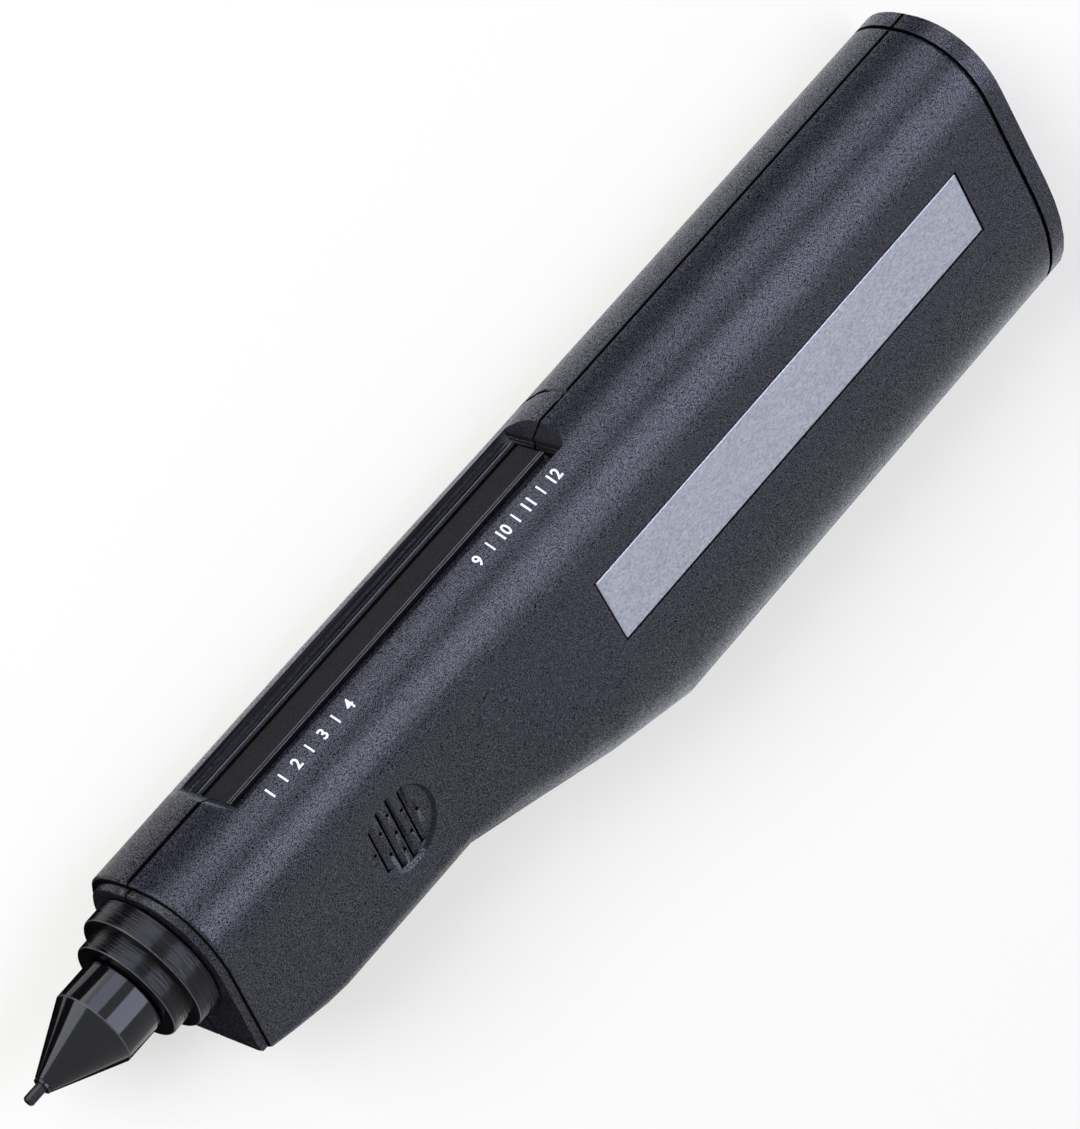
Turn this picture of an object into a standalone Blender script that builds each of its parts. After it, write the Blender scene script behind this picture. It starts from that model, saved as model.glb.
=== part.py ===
"""Hand-held diamond tester: a moulded housing in two halves with a lamp window along its top, a
louvred sounder grille, a spring-loaded heated probe in a turned nose, and a sliding battery door.

Stations run rearwards along +X from the probe's end, +Z is up through the window, and the seam
between the two halves is the plane Y = 0, with the left half at -Y. The root empty then lays the
tester on its right flank: the window faces -Y, the probe points along +X and it rests on Z = 0.
"""
import math

import bmesh
import bpy
import numpy
from mathutils import Matrix, Vector

CLEAR = 0.0003                 # gap between pieces that touch
OVERRUN = 0.001                # how far a cutter runs past the surface it cuts
MERGE = 0.000001               # points nearer than this are one point

# Probe and turned nose, from the probe's end rearwards
TIP_RADIUS = 0.000775
TIP_SHOWN = 0.0027
TIP_HELD = 0.0113
TIP_ROUND = 0.0003
PROBE_RISE = 0.0007            # probe axis above the centre of the housing's round top
CONE_LENGTH = 0.0098
CONE_RIM_RADIUS = 0.0012
CONE_MOUTH_LENGTH = 0.0060     # thickness of the cone's nose ahead of its chamber
BARREL_RADIUS = 0.00592
BARREL_LENGTH = 0.0060
SPIGOT_RADIUS = 0.0046
SPIGOT_LENGTH = 0.0059
FRONT_COLLAR_RADIUS = 0.00783
FRONT_COLLAR_LENGTH = 0.0031
REAR_COLLAR_RADIUS = 0.00942
REAR_COLLAR_LENGTH = 0.0037
COLLAR_BEVEL = 0.0004
NECK_RADIUS = 0.0074
FLANGE_RADIUS = 0.0086
FLANGE_LENGTH = 0.0020
TAIL_RADIUS = 0.0055
TAIL_LENGTH = 0.0068
PLUNGER_RADIUS = 0.0026
PLUNGER_LENGTH = 0.0210
HEATER_RADIUS = 0.0018
HEATER_LENGTH = 0.0057
PLUG_LENGTH = 0.0037
PLUG_CAP_RADIUS = 0.0045
PLUG_CAP_LENGTH = 0.0010
SPRING_RADIUS = 0.00165
SPRING_WIRE_RADIUS = 0.00022
SPRING_CURLS = 11
CURL_POINTS = 9

# Housing
HALF_WIDTH = 0.012
FACE_DEPTH = 0.0278
NECK_DEPTH = 0.0324
GRIP_DEPTH = 0.047
FACE_FOOT = 0.0094             # half-width where the flank would meet the underside, at the front
NECK_FOOT = 0.0092
FACE_LEG = 0.0014              # reach of the lower corner's curve up the flank, at the front
NECK_LEG = 0.0045
GRIP_SIDE_LEG = 0.019
GRIP_UNDER_LEG = 0.0112
LEAST_LEG = 0.0004
LIP_LENGTH = 0.0011
LIP_INSET = 0.0010
LIP_UNDER_INSET = 0.0002
EDGE_ROUND = 0.0003
STEP_DRAFT = 0.00005            # run of the steep faces at the front and in the rear groove
CHIN_LENGTH = 0.029
NECK_LENGTH = 0.0100
SLOPE_LENGTH = 0.0405
GRIP_LENGTH = 0.0835
GROOVE_FROM_REAR = 0.0037
GROOVE_WIDTH = 0.0007
GROOVE_DEPTH = 0.0006
SEAM_GAP = 0.00034
FRONT_WALL = 0.0030
END_WALL = 0.0024
DOOR_SKIN = 0.0014
TRAY_SKIN = 0.0008
CHIN_SHARES = [(0, 0), (0.14, 0.28), (0.34, 0.63), (0.47, 0.78), (0.66, 0.86), (1, 1)]
FLARE_SHARE = 0.62             # where along the slope the flanks stand upright again
FRONT_ARC_SHARE = 0.80         # power of the top arc's sine and cosine, where 1 is a true circle
GRIP_ARC_SHARE = 0.87
ARC_STEPS = 12
CORNER_STEPS = 8
NOSE_SIDES = 48                # sides of the round pieces, by size
DISH_SIDES = 40
SOUNDER_SIDES = 32
TURNED_SIDES = 24
SMALL_SIDES = 20
THIN_SIDES = 16
LAMP_HOLE_SIDES = 12
LAMP_SIDES = 10

# Lamp window along the top
WINDOW_SETBACK = 0.0142
WINDOW_LENGTH = 0.069
WINDOW_HALF = 0.0055
WINDOW_END_DROP = 0.0011
WINDOW_FRONT_RUN = 0.0017
WINDOW_REAR_RUN = 0.0022
LEDGE_DEPTH = 0.0019
LEDGE_WIDTH = 0.0004
LEDGE_STEP = 0.0004
RAIL_WALL = 0.0008
RAIL_FLOOR = 0.0019
RAIL_END = 0.0012
LENS_HALF = 0.00245
LENS_THICKNESS = 0.0005
LENS_STEM_HALF = 0.0016
LENS_STEM_DEPTH = 0.0023       # stem's end below the window's floor
LENS_END_GAP = 0.0005

# Lamps and circuit board
LAMP_COUNT = 12
LAMP_PITCH = 0.0052
LAMP_RADIUS = 0.0010
LAMP_HEIGHT = 0.0034
LAMP_BELOW_LENS = 0.0004
LAMP_FIT = 0.00025
HOLDER_HALF = 0.0019
HOLDER_HEIGHT = 0.0024
HOLDER_LIFT = 0.0005
BOARD_SETBACK = 0.0027
BOARD_REAR_GAP = 0.0150         # board's rear end ahead of the battery snap
BOARD_HEIGHT = 0.0179
BOARD_THICKNESS = 0.0016
BOARD_HOLE_RADIUS = 0.0016

# Sounder and its grille
GRILLE_SETBACK = 0.0302
GRILLE_DROP = 0.0064           # grille centre below the centre of the round top
DISH_RADIUS = 0.0063
DISH_DEPTH = 0.0006
DISH_SLOPE = 0.0004
LOUVRE_COUNT = 4
LOUVRE_PITCH = 0.0021
LOUVRE_LEAD = 0.0040           # first louvre's slot ahead of the grille's centre
LOUVRE_SLOT = 0.0005
LOUVRE_RAMP = 0.00065
LOUVRE_RAMP_DEPTH = 0.0004
PIN_RADIUS = 0.0003
PIN_DEPTH = 0.0005
PIN_PAIR_HALF = 0.0020         # holes of a pair from their land's middle
PIN_TRIPLE_HALF = 0.0034       # outer holes of three from their land's middle
SOUNDER_RADIUS = 0.0060
SOUNDER_HEIGHT = 0.0059
SOUNDER_MOUTH = 0.0010

# Components on the board
CHIP_SIZE = (0.014, 0.0018, 0.006)
CHIP_SETBACK = 0.032           # centre behind the board's front edge
CHIP_DROP = 0.0099             # centre below the board's top edge
CAPACITOR_RADIUS = 0.0025
CAPACITOR_HEIGHT = 0.0065
CAPACITOR_SETBACK = 0.0505
CAPACITOR_DROP = 0.0069
CAPACITOR_ROUND = 0.0004
CHIP_BEVEL = 0.0001
TRIMMER_SIZE = (0.006, 0.0034, 0.006)
TRIMMER_SETBACK = 0.049
TRIMMER_DROP = 0.0079
TRIMMER_DIAL_RADIUS = 0.0018
TRIMMER_DIAL_HEIGHT = 0.0008
TRIMMER_NOTCH = 0.0005

# Power switch in the right flank
SWITCH_SIZE = (0.009, 0.0037, 0.006)
SWITCH_SETBACK = 0.0305
SWITCH_DROP = 0.0109
SWITCH_TRAVEL = 0.003
SWITCH_SLOT_DEPTH = 0.0020
KNOB_LENGTH = 0.0060
KNOB_HEIGHT = 0.0040
KNOB_STEM_LENGTH = 0.0024
KNOB_STEM_HEIGHT = 0.0016
KNOB_STEM_REACH = 0.0015
KNOB_BELOW_FLANK = 0.0004      # knob's face below the housing's widest line
KNOB_RIB_COUNT = 3
KNOB_RIB_PITCH = 0.0014
KNOB_RIB_CUT = 0.0005

# Battery bay
BATTERY_LENGTH = 0.0464
BATTERY_THICKNESS = 0.0175
BATTERY_BELOW_TOP = 0.00865     # battery below the grip's top line
BATTERY_ABOVE_FOOT = 0.01185   # battery above the grip's underside
BATTERY_ROUND = 0.0025
STUD_SPACING_SHARE = 0.48      # of the battery's height
STUD_HEIGHT = 0.0021
SMALL_STUD_RADIUS = 0.0028
LARGE_STUD_RADIUS = 0.0040
SNAP_THICKNESS = 0.0047
SNAP_MARGIN = 0.0012
PAD_THICKNESS = 0.0086
SOFT_EDGE = 0.0008             # bevel of the snap and the pad
PAD_SHARE = 0.8
BAY_RIB_THICKNESS = 0.0012
BAY_RIB_SHARES = (0.2, 0.8)
BULKHEAD_THICKNESS = 0.0016
BULKHEAD_GAP = 0.0008
NOTCH_HALF = 0.0040
NOTCH_NEAR = 0.0015
NOTCH_FAR = 0.0068
BAY_MARGIN = 0.0021            # tray opening past the battery at each end
BAY_SIDE_MARGIN = 0.00035
DOOR_NOSE_LEAD = 0.0035        # door's front edge ahead of the grip's start
DOOR_ARC_SHARE = 0.602         # radius of that edge to the grip's depth

# Nameplate on the left flank
PLATE_SIZE = (0.0783, 0.0005, 0.0101)
PLATE_LEAD = 0.0079            # plate's front edge ahead of the grip's start
PLATE_DROP = 0.0080            # plate's centre below the centre of the round top
PLATE_BELOW_FLANK = 0.00005
PLATE_BEVEL = 0.0001

# Case screws
SCREW_RADIUS = 0.0012
SCREW_LENGTH = 0.0080
SCREW_HEAD_RADIUS = 0.0023
SCREW_HEAD_HEIGHT = 0.0016
SCREW_HEAD_ROUND = 0.0004
SCREW_CROSS_SHARE = 0.7
SCREW_CROSS_WIDTH = 0.0006
BOSS_WALL = 0.0010
BOARD_SCREW_INSET = 0.0050     # front screw behind the board's front edge
BOARD_SCREW_REAR_INSET = 0.0140
BOARD_SCREW_LIFT = 0.0030      # screws above the board's lower edge
BOARD_SCREW_SEAT = 0.0042      # head's seat from the seam
BAY_SCREW_SEAT = 0.0019
BAY_SCREW_SETBACK = 0.0115     # front bay screw behind the grip's start
BAY_SCREW_LIFT = 0.0055        # screws above the grip's underside
REAR_SCREW_INSET = 0.0065
REAR_SCREW_LIFT = 0.0070
SCREW_TIP_GAP = 0.0003

# Wires
PROBE_LEAD_RADIUS = 0.00045
PROBE_LEAD_REACH = 0.005
SNAP_LEAD_RADIUS = 0.0006
SNAP_LEAD_SAG = 0.0014
SNAP_LEAD_REACH = 0.0035
SNAP_LEAD_SPREAD = 0.0030
SNAP_LEAD_POINTS = 14

# Places that follow from the sizes above
CONE_START = TIP_SHOWN
BARREL_START = CONE_START + CONE_LENGTH
BARREL_END = BARREL_START + BARREL_LENGTH
SPIGOT_END = BARREL_END + SPIGOT_LENGTH
COLLAR_START = BARREL_END + CLEAR
COLLAR_STEP = COLLAR_START + FRONT_COLLAR_LENGTH
COLLAR_END = COLLAR_STEP + REAR_COLLAR_LENGTH
LIP_START = COLLAR_END + CLEAR
FACE_AT = LIP_START + LIP_LENGTH
INNER_FACE = LIP_START + FRONT_WALL
FLANGE_START = INNER_FACE + CLEAR
FLANGE_END = FLANGE_START + FLANGE_LENGTH
TAIL_END = FLANGE_END + TAIL_LENGTH
PLUG_START = TAIL_END - PLUG_LENGTH
PLUG_END = TAIL_END + CLEAR + PLUG_CAP_LENGTH
PLUNGER_BORE = PLUNGER_RADIUS + CLEAR
CHAMBER_START = CONE_START + CONE_MOUTH_LENGTH
PLUNGER_START = CHAMBER_START + CLEAR
PLUNGER_END = PLUNGER_START + PLUNGER_LENGTH
TIP_END = TIP_SHOWN + TIP_HELD
HEATER_START = TIP_END + CLEAR
HEATER_END = HEATER_START + HEATER_LENGTH

NECK_AT = FACE_AT + CHIN_LENGTH
THROAT_AT = NECK_AT + NECK_LENGTH
GRIP_AT = THROAT_AT + SLOPE_LENGTH
REAR_AT = GRIP_AT + GRIP_LENGTH
GROOVE_AT = REAR_AT - GROOVE_FROM_REAR
WALL = DOOR_SKIN + CLEAR + TRAY_SKIN
INNER_REAR = REAR_AT - END_WALL
MID_DROP = GRIP_DEPTH / 2 - HALF_WIDTH
DOOR_NOSE_AT = GRIP_AT - DOOR_NOSE_LEAD
DOOR_ARC_RADIUS = DOOR_ARC_SHARE * GRIP_DEPTH
UNDERSIDE = HALF_WIDTH - GRIP_DEPTH

WINDOW_START = FACE_AT + WINDOW_SETBACK
WINDOW_END = WINDOW_START + WINDOW_LENGTH
LEDGE_Z = HALF_WIDTH - LEDGE_DEPTH
FLOOR_Z = LEDGE_Z - 2 * LEDGE_STEP
LENS_TOP = FLOOR_Z + CLEAR + LENS_THICKNESS
LENS_STEM_END = FLOOR_Z - LENS_STEM_DEPTH
LENS_START = WINDOW_START + WINDOW_FRONT_RUN + LENS_END_GAP
LENS_END = WINDOW_END - WINDOW_REAR_RUN - 2 * LENS_END_GAP

LAMP_TOP = LENS_STEM_END - LAMP_BELOW_LENS
LAMP_BASE = LAMP_TOP - LAMP_HEIGHT
LAMP_ROW = (LAMP_COUNT - 1) * LAMP_PITCH
LAMP_FIRST = (LENS_START + LENS_END - LAMP_ROW) / 2
BOARD_TOP = LAMP_BASE - CLEAR
BOARD_BOTTOM = BOARD_TOP - BOARD_HEIGHT
BOARD_START = PLUG_END + BOARD_SETBACK
BOARD_FACE = BOARD_THICKNESS / 2
PART_BASE = BOARD_FACE + CLEAR         # where a component's base starts on either face

BATTERY_HEIGHT = GRIP_DEPTH - BATTERY_BELOW_TOP - BATTERY_ABOVE_FOOT
BATTERY_DROP = BATTERY_BELOW_TOP + BATTERY_HEIGHT / 2 - HALF_WIDTH
STUD_SPACING = STUD_SPACING_SHARE * BATTERY_HEIGHT
BATTERY_END = INNER_REAR - PAD_THICKNESS - 2 * CLEAR
BATTERY_START = BATTERY_END - BATTERY_LENGTH
SNAP_END = BATTERY_START - CLEAR
SNAP_START = SNAP_END - SNAP_THICKNESS
BOARD_END = SNAP_START - BOARD_REAR_GAP
BULKHEAD_END = SNAP_START - BULKHEAD_GAP
BULKHEAD_START = BULKHEAD_END - BULKHEAD_THICKNESS

BOARD_SCREW_Z = BOARD_BOTTOM + BOARD_SCREW_LIFT
SCREWS = [
    (BOARD_START + BOARD_SCREW_INSET, BOARD_SCREW_Z, BOARD_SCREW_SEAT),
    (BOARD_END - BOARD_SCREW_REAR_INSET, BOARD_SCREW_Z, BOARD_SCREW_SEAT),
    (GRIP_AT + BAY_SCREW_SETBACK, UNDERSIDE + BAY_SCREW_LIFT, BAY_SCREW_SEAT),
    (REAR_AT - REAR_SCREW_INSET, UNDERSIDE + REAR_SCREW_LIFT, BAY_SCREW_SEAT),
]
SCREW_HOLE = SCREW_RADIUS + CLEAR
COUNTERBORE = SCREW_HEAD_RADIUS + CLEAR
BOSS_RADIUS = COUNTERBORE + BOSS_WALL

LEFT = -1
RIGHT = 1

# Halves are built across the seam and trimmed to it last, each piece reaching a different way past
PAST_SHELL = -OVERRUN
PAST_INNER = -OVERRUN / 2
PAST_TRAY = -OVERRUN * 3 / 4
PAST_CUTTER = -2 * OVERRUN

parts = bpy.data.collections.new("Diamond tester")
cutters = bpy.data.collections.new("Cutters")


def clear_scene():
    for obj in list(bpy.data.objects):
        bpy.data.objects.remove(obj, do_unlink=True)
    bpy.context.scene.collection.children.link(parts)
    bpy.context.scene.collection.children.link(cutters)


def material(name, colour, roughness, metallic=0.0):
    made = bpy.data.materials.new(name)
    made.use_nodes = True
    shader = made.node_tree.nodes["Principled BSDF"]
    shader.inputs["Base Color"].default_value = (*colour, 1.0)
    shader.inputs["Roughness"].default_value = roughness
    shader.inputs["Metallic"].default_value = metallic
    made.diffuse_color = (*colour, 1.0)
    return made


def from_bmesh(name, shape):
    """A new object from a closed bmesh, its faces turned outwards."""
    bmesh.ops.recalc_face_normals(shape, faces=shape.faces)
    mesh = bpy.data.meshes.new(name)
    shape.to_mesh(mesh)
    shape.free()
    obj = bpy.data.objects.new(name, mesh)
    parts.objects.link(obj)
    return obj


def apply_modifiers(obj):
    """Replace the object's data with its evaluated mesh, points that coincide welded."""
    bpy.context.view_layer.update()
    evaluated = obj.evaluated_get(bpy.context.evaluated_depsgraph_get())
    mesh = bpy.data.meshes.new_from_object(evaluated)
    shape = bmesh.new()
    shape.from_mesh(mesh)
    bmesh.ops.remove_doubles(shape, verts=shape.verts, dist=MERGE)
    bmesh.ops.recalc_face_normals(shape, faces=shape.faces)
    shape.to_mesh(mesh)
    shape.free()
    if obj.type == "CURVE":
        name, place = obj.name, obj.matrix_world.copy()
        bpy.data.objects.remove(obj)
        obj = bpy.data.objects.new(name, mesh)
        obj.matrix_world = place
        parts.objects.link(obj)
        return obj
    obj.modifiers.clear()
    obj.data = mesh
    return obj


def combine(obj, other, operation):
    """Apply an exact Boolean; what is cut away with stays as a hidden wire guide."""
    modifier = obj.modifiers.new(operation.title(), "BOOLEAN")
    modifier.operation = operation
    modifier.solver = "EXACT"
    modifier.object = other
    apply_modifiers(obj)
    if operation == "UNION":
        bpy.data.objects.remove(other)
        return obj
    if other.name not in cutters.objects:
        parts.objects.unlink(other)
        cutters.objects.link(other)
    other.hide_render = True
    other.display_type = "WIRE"
    return obj


def cut(obj, cutter):
    return combine(obj, cutter, "DIFFERENCE")


def join(obj, other):
    return combine(obj, other, "UNION")


def keep_inside(obj, limit):
    return combine(obj, limit, "INTERSECT")


def box(name, low, high, bevel=0.0, segments=2):
    """A box between two corners, its edges rounded by bevel."""
    low, high = Vector(low), Vector(high)
    shape = bmesh.new()
    middle = Matrix.Translation((low + high) / 2)
    bmesh.ops.create_cube(shape, size=1.0, matrix=middle @ Matrix.Diagonal((*(high - low), 1.0)))
    obj = from_bmesh(name, shape)
    if bevel:
        rounding = obj.modifiers.new("Bevel", "BEVEL")
        rounding.width = bevel
        rounding.segments = segments
        rounding.limit_method = "ANGLE"
        apply_modifiers(obj)
    return obj


AXIS_TURN = {
    "X": Matrix.Rotation(math.pi / 2, 4, "Y"),
    "Y": Matrix.Rotation(-math.pi / 2, 4, "X"),
    "Z": Matrix.Identity(4),
}


def turned(name, profile, axis, place, steps):
    """Spin (radius, distance) points about an axis through place.

    The profile runs down its outer side from the far end, and back up the bore where there is one.
    """
    shape = bmesh.new()
    points = [shape.verts.new((radius, 0, distance)) for radius, distance in profile]
    for first, second in zip(points, points[1:]):
        shape.edges.new((first, second))
    if profile[0][0] > 0:
        shape.edges.new((points[-1], points[0]))
    mesh = bpy.data.meshes.new(name)
    shape.to_mesh(mesh)
    shape.free()
    obj = bpy.data.objects.new(name, mesh)
    parts.objects.link(obj)
    screw = obj.modifiers.new("Screw", "SCREW")
    screw.steps = steps
    screw.render_steps = steps
    screw.use_merge_vertices = True
    screw.merge_threshold = MERGE
    apply_modifiers(obj)
    obj.data.transform(AXIS_TURN[axis])
    obj.location = place
    return obj


def rod(name, radius, axis, place, length, steps):
    """A plain cylinder that starts at place and runs along an axis."""
    return turned(name, [(0, length), (radius, length), (radius, 0), (0, 0)], axis, place, steps)


PLANE_TURN = {
    "XY": Matrix.Identity(4),
    "XZ": Matrix.Rotation(math.pi / 2, 4, "X"),
    "YZ": Matrix(((0, 0, 1, 0), (1, 0, 0, 0), (0, 1, 0, 0), (0, 0, 0, 1))),
}


def outline_solid(name, outline, plane, half_thickness, shift=(0, 0, 0)):
    """A flat outline in a plane, made as thick as twice half_thickness and moved by shift."""
    curve = bpy.data.curves.new(name, "CURVE")
    curve.dimensions = "2D"
    curve.fill_mode = "BOTH"
    curve.extrude = half_thickness
    spline = curve.splines.new("POLY")
    spline.points.add(len(outline) - 1)
    for point, (across, up) in zip(spline.points, outline):
        point.co = (across, up, 0, 1)
    spline.use_cyclic_u = True
    obj = bpy.data.objects.new(name, curve)
    parts.objects.link(obj)
    obj.matrix_world = Matrix.Translation(shift) @ PLANE_TURN[plane]
    return apply_modifiers(obj)


def tube(name, route, radius, roundness):
    """A round wire along points, with closed ends and this many cuts in each quarter turn."""
    curve = bpy.data.curves.new(name, "CURVE")
    curve.dimensions = "3D"
    curve.bevel_depth = radius
    curve.bevel_resolution = roundness
    curve.use_fill_caps = True
    spline = curve.splines.new("POLY")
    spline.points.add(len(route) - 1)
    for point, place in zip(spline.points, route):
        point.co = (*place, 1)
    obj = bpy.data.objects.new(name, curve)
    parts.objects.link(obj)
    return apply_modifiers(obj)


def ramp(at, points):
    """Straight-line value between (place, value) points, level past the ends."""
    places, values = zip(*points)
    return float(numpy.interp(at, places, values))


def body_depth(station):
    """Depth of the housing below its top: chin, neck, slope and grip."""
    rise = NECK_DEPTH - FACE_DEPTH
    chin = [(FACE_AT + along * CHIN_LENGTH, FACE_DEPTH + down * rise) for along, down in CHIN_SHARES]
    return ramp(station, chin + [(THROAT_AT, NECK_DEPTH), (GRIP_AT, GRIP_DEPTH)])


def foot_half(station):
    """Half-width where the flank's line would meet the underside."""
    flare_end = THROAT_AT + FLARE_SHARE * SLOPE_LENGTH
    places = [(FACE_AT, FACE_FOOT), (NECK_AT, NECK_FOOT), (THROAT_AT, NECK_FOOT), (flare_end, HALF_WIDTH)]
    return ramp(station, places)


def corner_legs(station):
    """How far the lower corner's curve reaches up the flank and along the underside."""
    side = [(FACE_AT, FACE_LEG), (NECK_AT, NECK_LEG), (THROAT_AT, NECK_LEG), (GRIP_AT, GRIP_SIDE_LEG)]
    under = side[:3] + [(GRIP_AT, GRIP_UNDER_LEG)]
    return ramp(station, side), ramp(station, under)


def arc_power(station):
    """How far the top arc fills out past a circle, as the power of its sine and cosine."""
    return ramp(station, [(THROAT_AT, FRONT_ARC_SHARE), (GRIP_AT, GRIP_ARC_SHARE)])


def section(station, inset, seam, under_inset=None):
    """Half the housing's outline at a station, from the top seam round to the bottom one.

    It lies inset inside the skin, and under_inset at the underside where that differs. The seam
    edge is at Y = seam: outside zero it leaves the seam's gap, and below zero it reaches past the
    seam, for a cutter.
    """
    radius = HALF_WIDTH - inset
    lift = inset if under_inset is None else under_inset
    foot = Vector((foot_half(station) - inset, HALF_WIDTH - body_depth(station) + lift))
    side_leg, under_leg = (max(leg - inset, LEAST_LEG) for leg in corner_legs(station))
    flank = Vector((radius, 0))
    start = foot + (flank - foot).normalized() * side_leg
    end = foot - Vector((under_leg, 0))
    power = arc_power(station)
    seam_angle = math.asin((max(seam, 0) / radius) ** (1 / power))
    points = [(seam, radius * math.cos(seam_angle) ** power)]
    for step in range(1, ARC_STEPS):
        angle = math.pi / 2 * step / ARC_STEPS
        points.append((radius * math.sin(angle) ** power, radius * math.cos(angle) ** power))
    points.append((radius, 0))
    pull = 4 / 3 * (math.sqrt(2) - 1)
    near, far = start.lerp(foot, pull), end.lerp(foot, pull)
    for step in range(CORNER_STEPS + 1):
        t = step / CORNER_STEPS
        rest = 1 - t
        corner = start * rest ** 3 + near * 3 * rest ** 2 * t + far * 3 * rest * t ** 2 + end * t ** 3
        points.append(tuple(corner))
    points.append((seam, foot.y))
    return points


def half_body(name, side, rings, seam=SEAM_GAP / 2, shape_at=None):
    """Loft one half of the housing through (station, inset) rings, some with an under_inset too.

    shape_at keeps the outline of one station all the way, for what slides along the grip.
    """
    shape = bmesh.new()
    loops = []
    for station, inset, *under in rings:
        outline = section(shape_at or station, inset, seam, *under)
        loops.append([shape.verts.new((station, side * across, up)) for across, up in outline])
    walls = []
    for back, front in zip(loops, loops[1:]):
        for index in range(len(back)):
            after = (index + 1) % len(back)
            walls.append(shape.faces.new((back[index], back[after], front[after], front[index])))
    bmesh.ops.triangulate(shape, faces=walls)
    shape.faces.new(loops[0])
    shape.faces.new(loops[-1])
    return from_bmesh(name, shape)


def body_stations(start, end):
    """Stations where the housing's form changes, between two ends."""
    flare_end = THROAT_AT + FLARE_SHARE * SLOPE_LENGTH
    bends = [FACE_AT + along * CHIN_LENGTH for along, _ in CHIN_SHARES]
    bends += [THROAT_AT, (THROAT_AT + flare_end) / 2, flare_end, (flare_end + GRIP_AT) / 2, GRIP_AT]
    return [start] + [bend for bend in bends if start < bend < end] + [end]


def outer_rings():
    """Rings of the whole skin: lip, front face, body, rear groove and rim."""
    face_edge = FACE_AT + EDGE_ROUND
    under = LIP_UNDER_INSET
    rings = [(LIP_START, LIP_INSET + EDGE_ROUND, under + EDGE_ROUND)]
    rings += [(LIP_START + EDGE_ROUND, LIP_INSET, under), (FACE_AT - STEP_DRAFT, LIP_INSET, under)]
    rings += [(FACE_AT, EDGE_ROUND, min(EDGE_ROUND, under))]
    rings += [(station, 0) for station in body_stations(face_edge, GROOVE_AT)]
    groove_end = GROOVE_AT + GROOVE_WIDTH
    rings += [(GROOVE_AT + STEP_DRAFT, GROOVE_DEPTH), (groove_end - STEP_DRAFT, GROOVE_DEPTH)]
    rings += [(groove_end, 0)]
    return rings + [(REAR_AT - EDGE_ROUND, 0), (REAR_AT, EDGE_ROUND)]


def cavity(name, side, end):
    """The hollow of one half, running past the seam."""
    rings = [(station, WALL) for station in body_stations(INNER_FACE, end)]
    return half_body(name, side, rings, seam=PAST_CUTTER)


def trim_at_seam(shell, side):
    """Cut a half that was built across the seam back to its side of the gap."""
    seam = side * SEAM_GAP / 2
    past = -side * HALF_WIDTH
    wide = box(
        f"seam_trim_{'left' if side == LEFT else 'right'}",
        (LIP_START - OVERRUN, min(seam, past), -GRIP_DEPTH),
        (REAR_AT + OVERRUN, max(seam, past), HALF_WIDTH + OVERRUN),
    )
    cut(shell, wide)


def door_region(name, radius):
    """Everything behind the door's curved front edge."""
    centre = DOOR_NOSE_AT + DOOR_ARC_RADIUS
    reach = math.asin((GRIP_DEPTH / 2 + OVERRUN) / radius)
    steps = 4 * CORNER_STEPS
    outline = [(REAR_AT + OVERRUN, HALF_WIDTH + OVERRUN)]
    for step in range(steps + 1):
        angle = reach - 2 * reach * step / steps
        outline.append((centre - radius * math.cos(angle), radius * math.sin(angle) - MID_DROP))
    outline.append((REAR_AT + OVERRUN, HALF_WIDTH - GRIP_DEPTH - OVERRUN))
    return outline_solid(name, outline, "XZ", HALF_WIDTH + OVERRUN)


def window_rails(side):
    """Block that carries half the window's floor, and later its ledges."""
    inner = side * PAST_INNER
    edge = side * (WINDOW_HALF + RAIL_WALL)
    return box(
        "rails",
        (WINDOW_START - RAIL_END, min(inner, edge), FLOOR_Z - RAIL_FLOOR),
        (WINDOW_END + RAIL_END, max(inner, edge), HALF_WIDTH),
    )


def bosses(side):
    """Screw bosses from the seam, or the board, to the wall."""
    made = None
    for station, height, seat in SCREWS:
        start = PART_BASE if seat == BOARD_SCREW_SEAT else PAST_INNER
        low = start if side == RIGHT else -HALF_WIDTH
        boss = rod("boss", BOSS_RADIUS, "Y", (station, low, height), HALF_WIDTH - start, SMALL_SIDES)
        made = boss if made is None else join(made, boss)
    return made


def bay_ribs():
    """Ribs in the left half that carry the battery, and the bulkhead ahead of its snap."""
    battery_side = BATTERY_THICKNESS / 2 + CLEAR
    corner = (BULKHEAD_END, -PAST_INNER, HALF_WIDTH)
    ribs = box("ribs", (BULKHEAD_START, -HALF_WIDTH, -GRIP_DEPTH), corner)
    middle = (BATTERY_DROP + NOTCH_HALF, BATTERY_DROP - NOTCH_HALF)
    notch = box(
        "wire_notch",
        (BULKHEAD_START - OVERRUN, -NOTCH_FAR, -middle[0]),
        (BULKHEAD_END + OVERRUN, -NOTCH_NEAR, -middle[1]),
    )
    cut(ribs, notch)
    for share in BAY_RIB_SHARES:
        station = BATTERY_START + share * BATTERY_LENGTH
        half = BATTERY_HEIGHT / 2
        rib = box(
            "rib",
            (station, -HALF_WIDTH, -BATTERY_DROP - half),
            (station + BAY_RIB_THICKNESS, -battery_side, -BATTERY_DROP + half),
        )
        join(ribs, rib)
    return ribs


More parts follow.
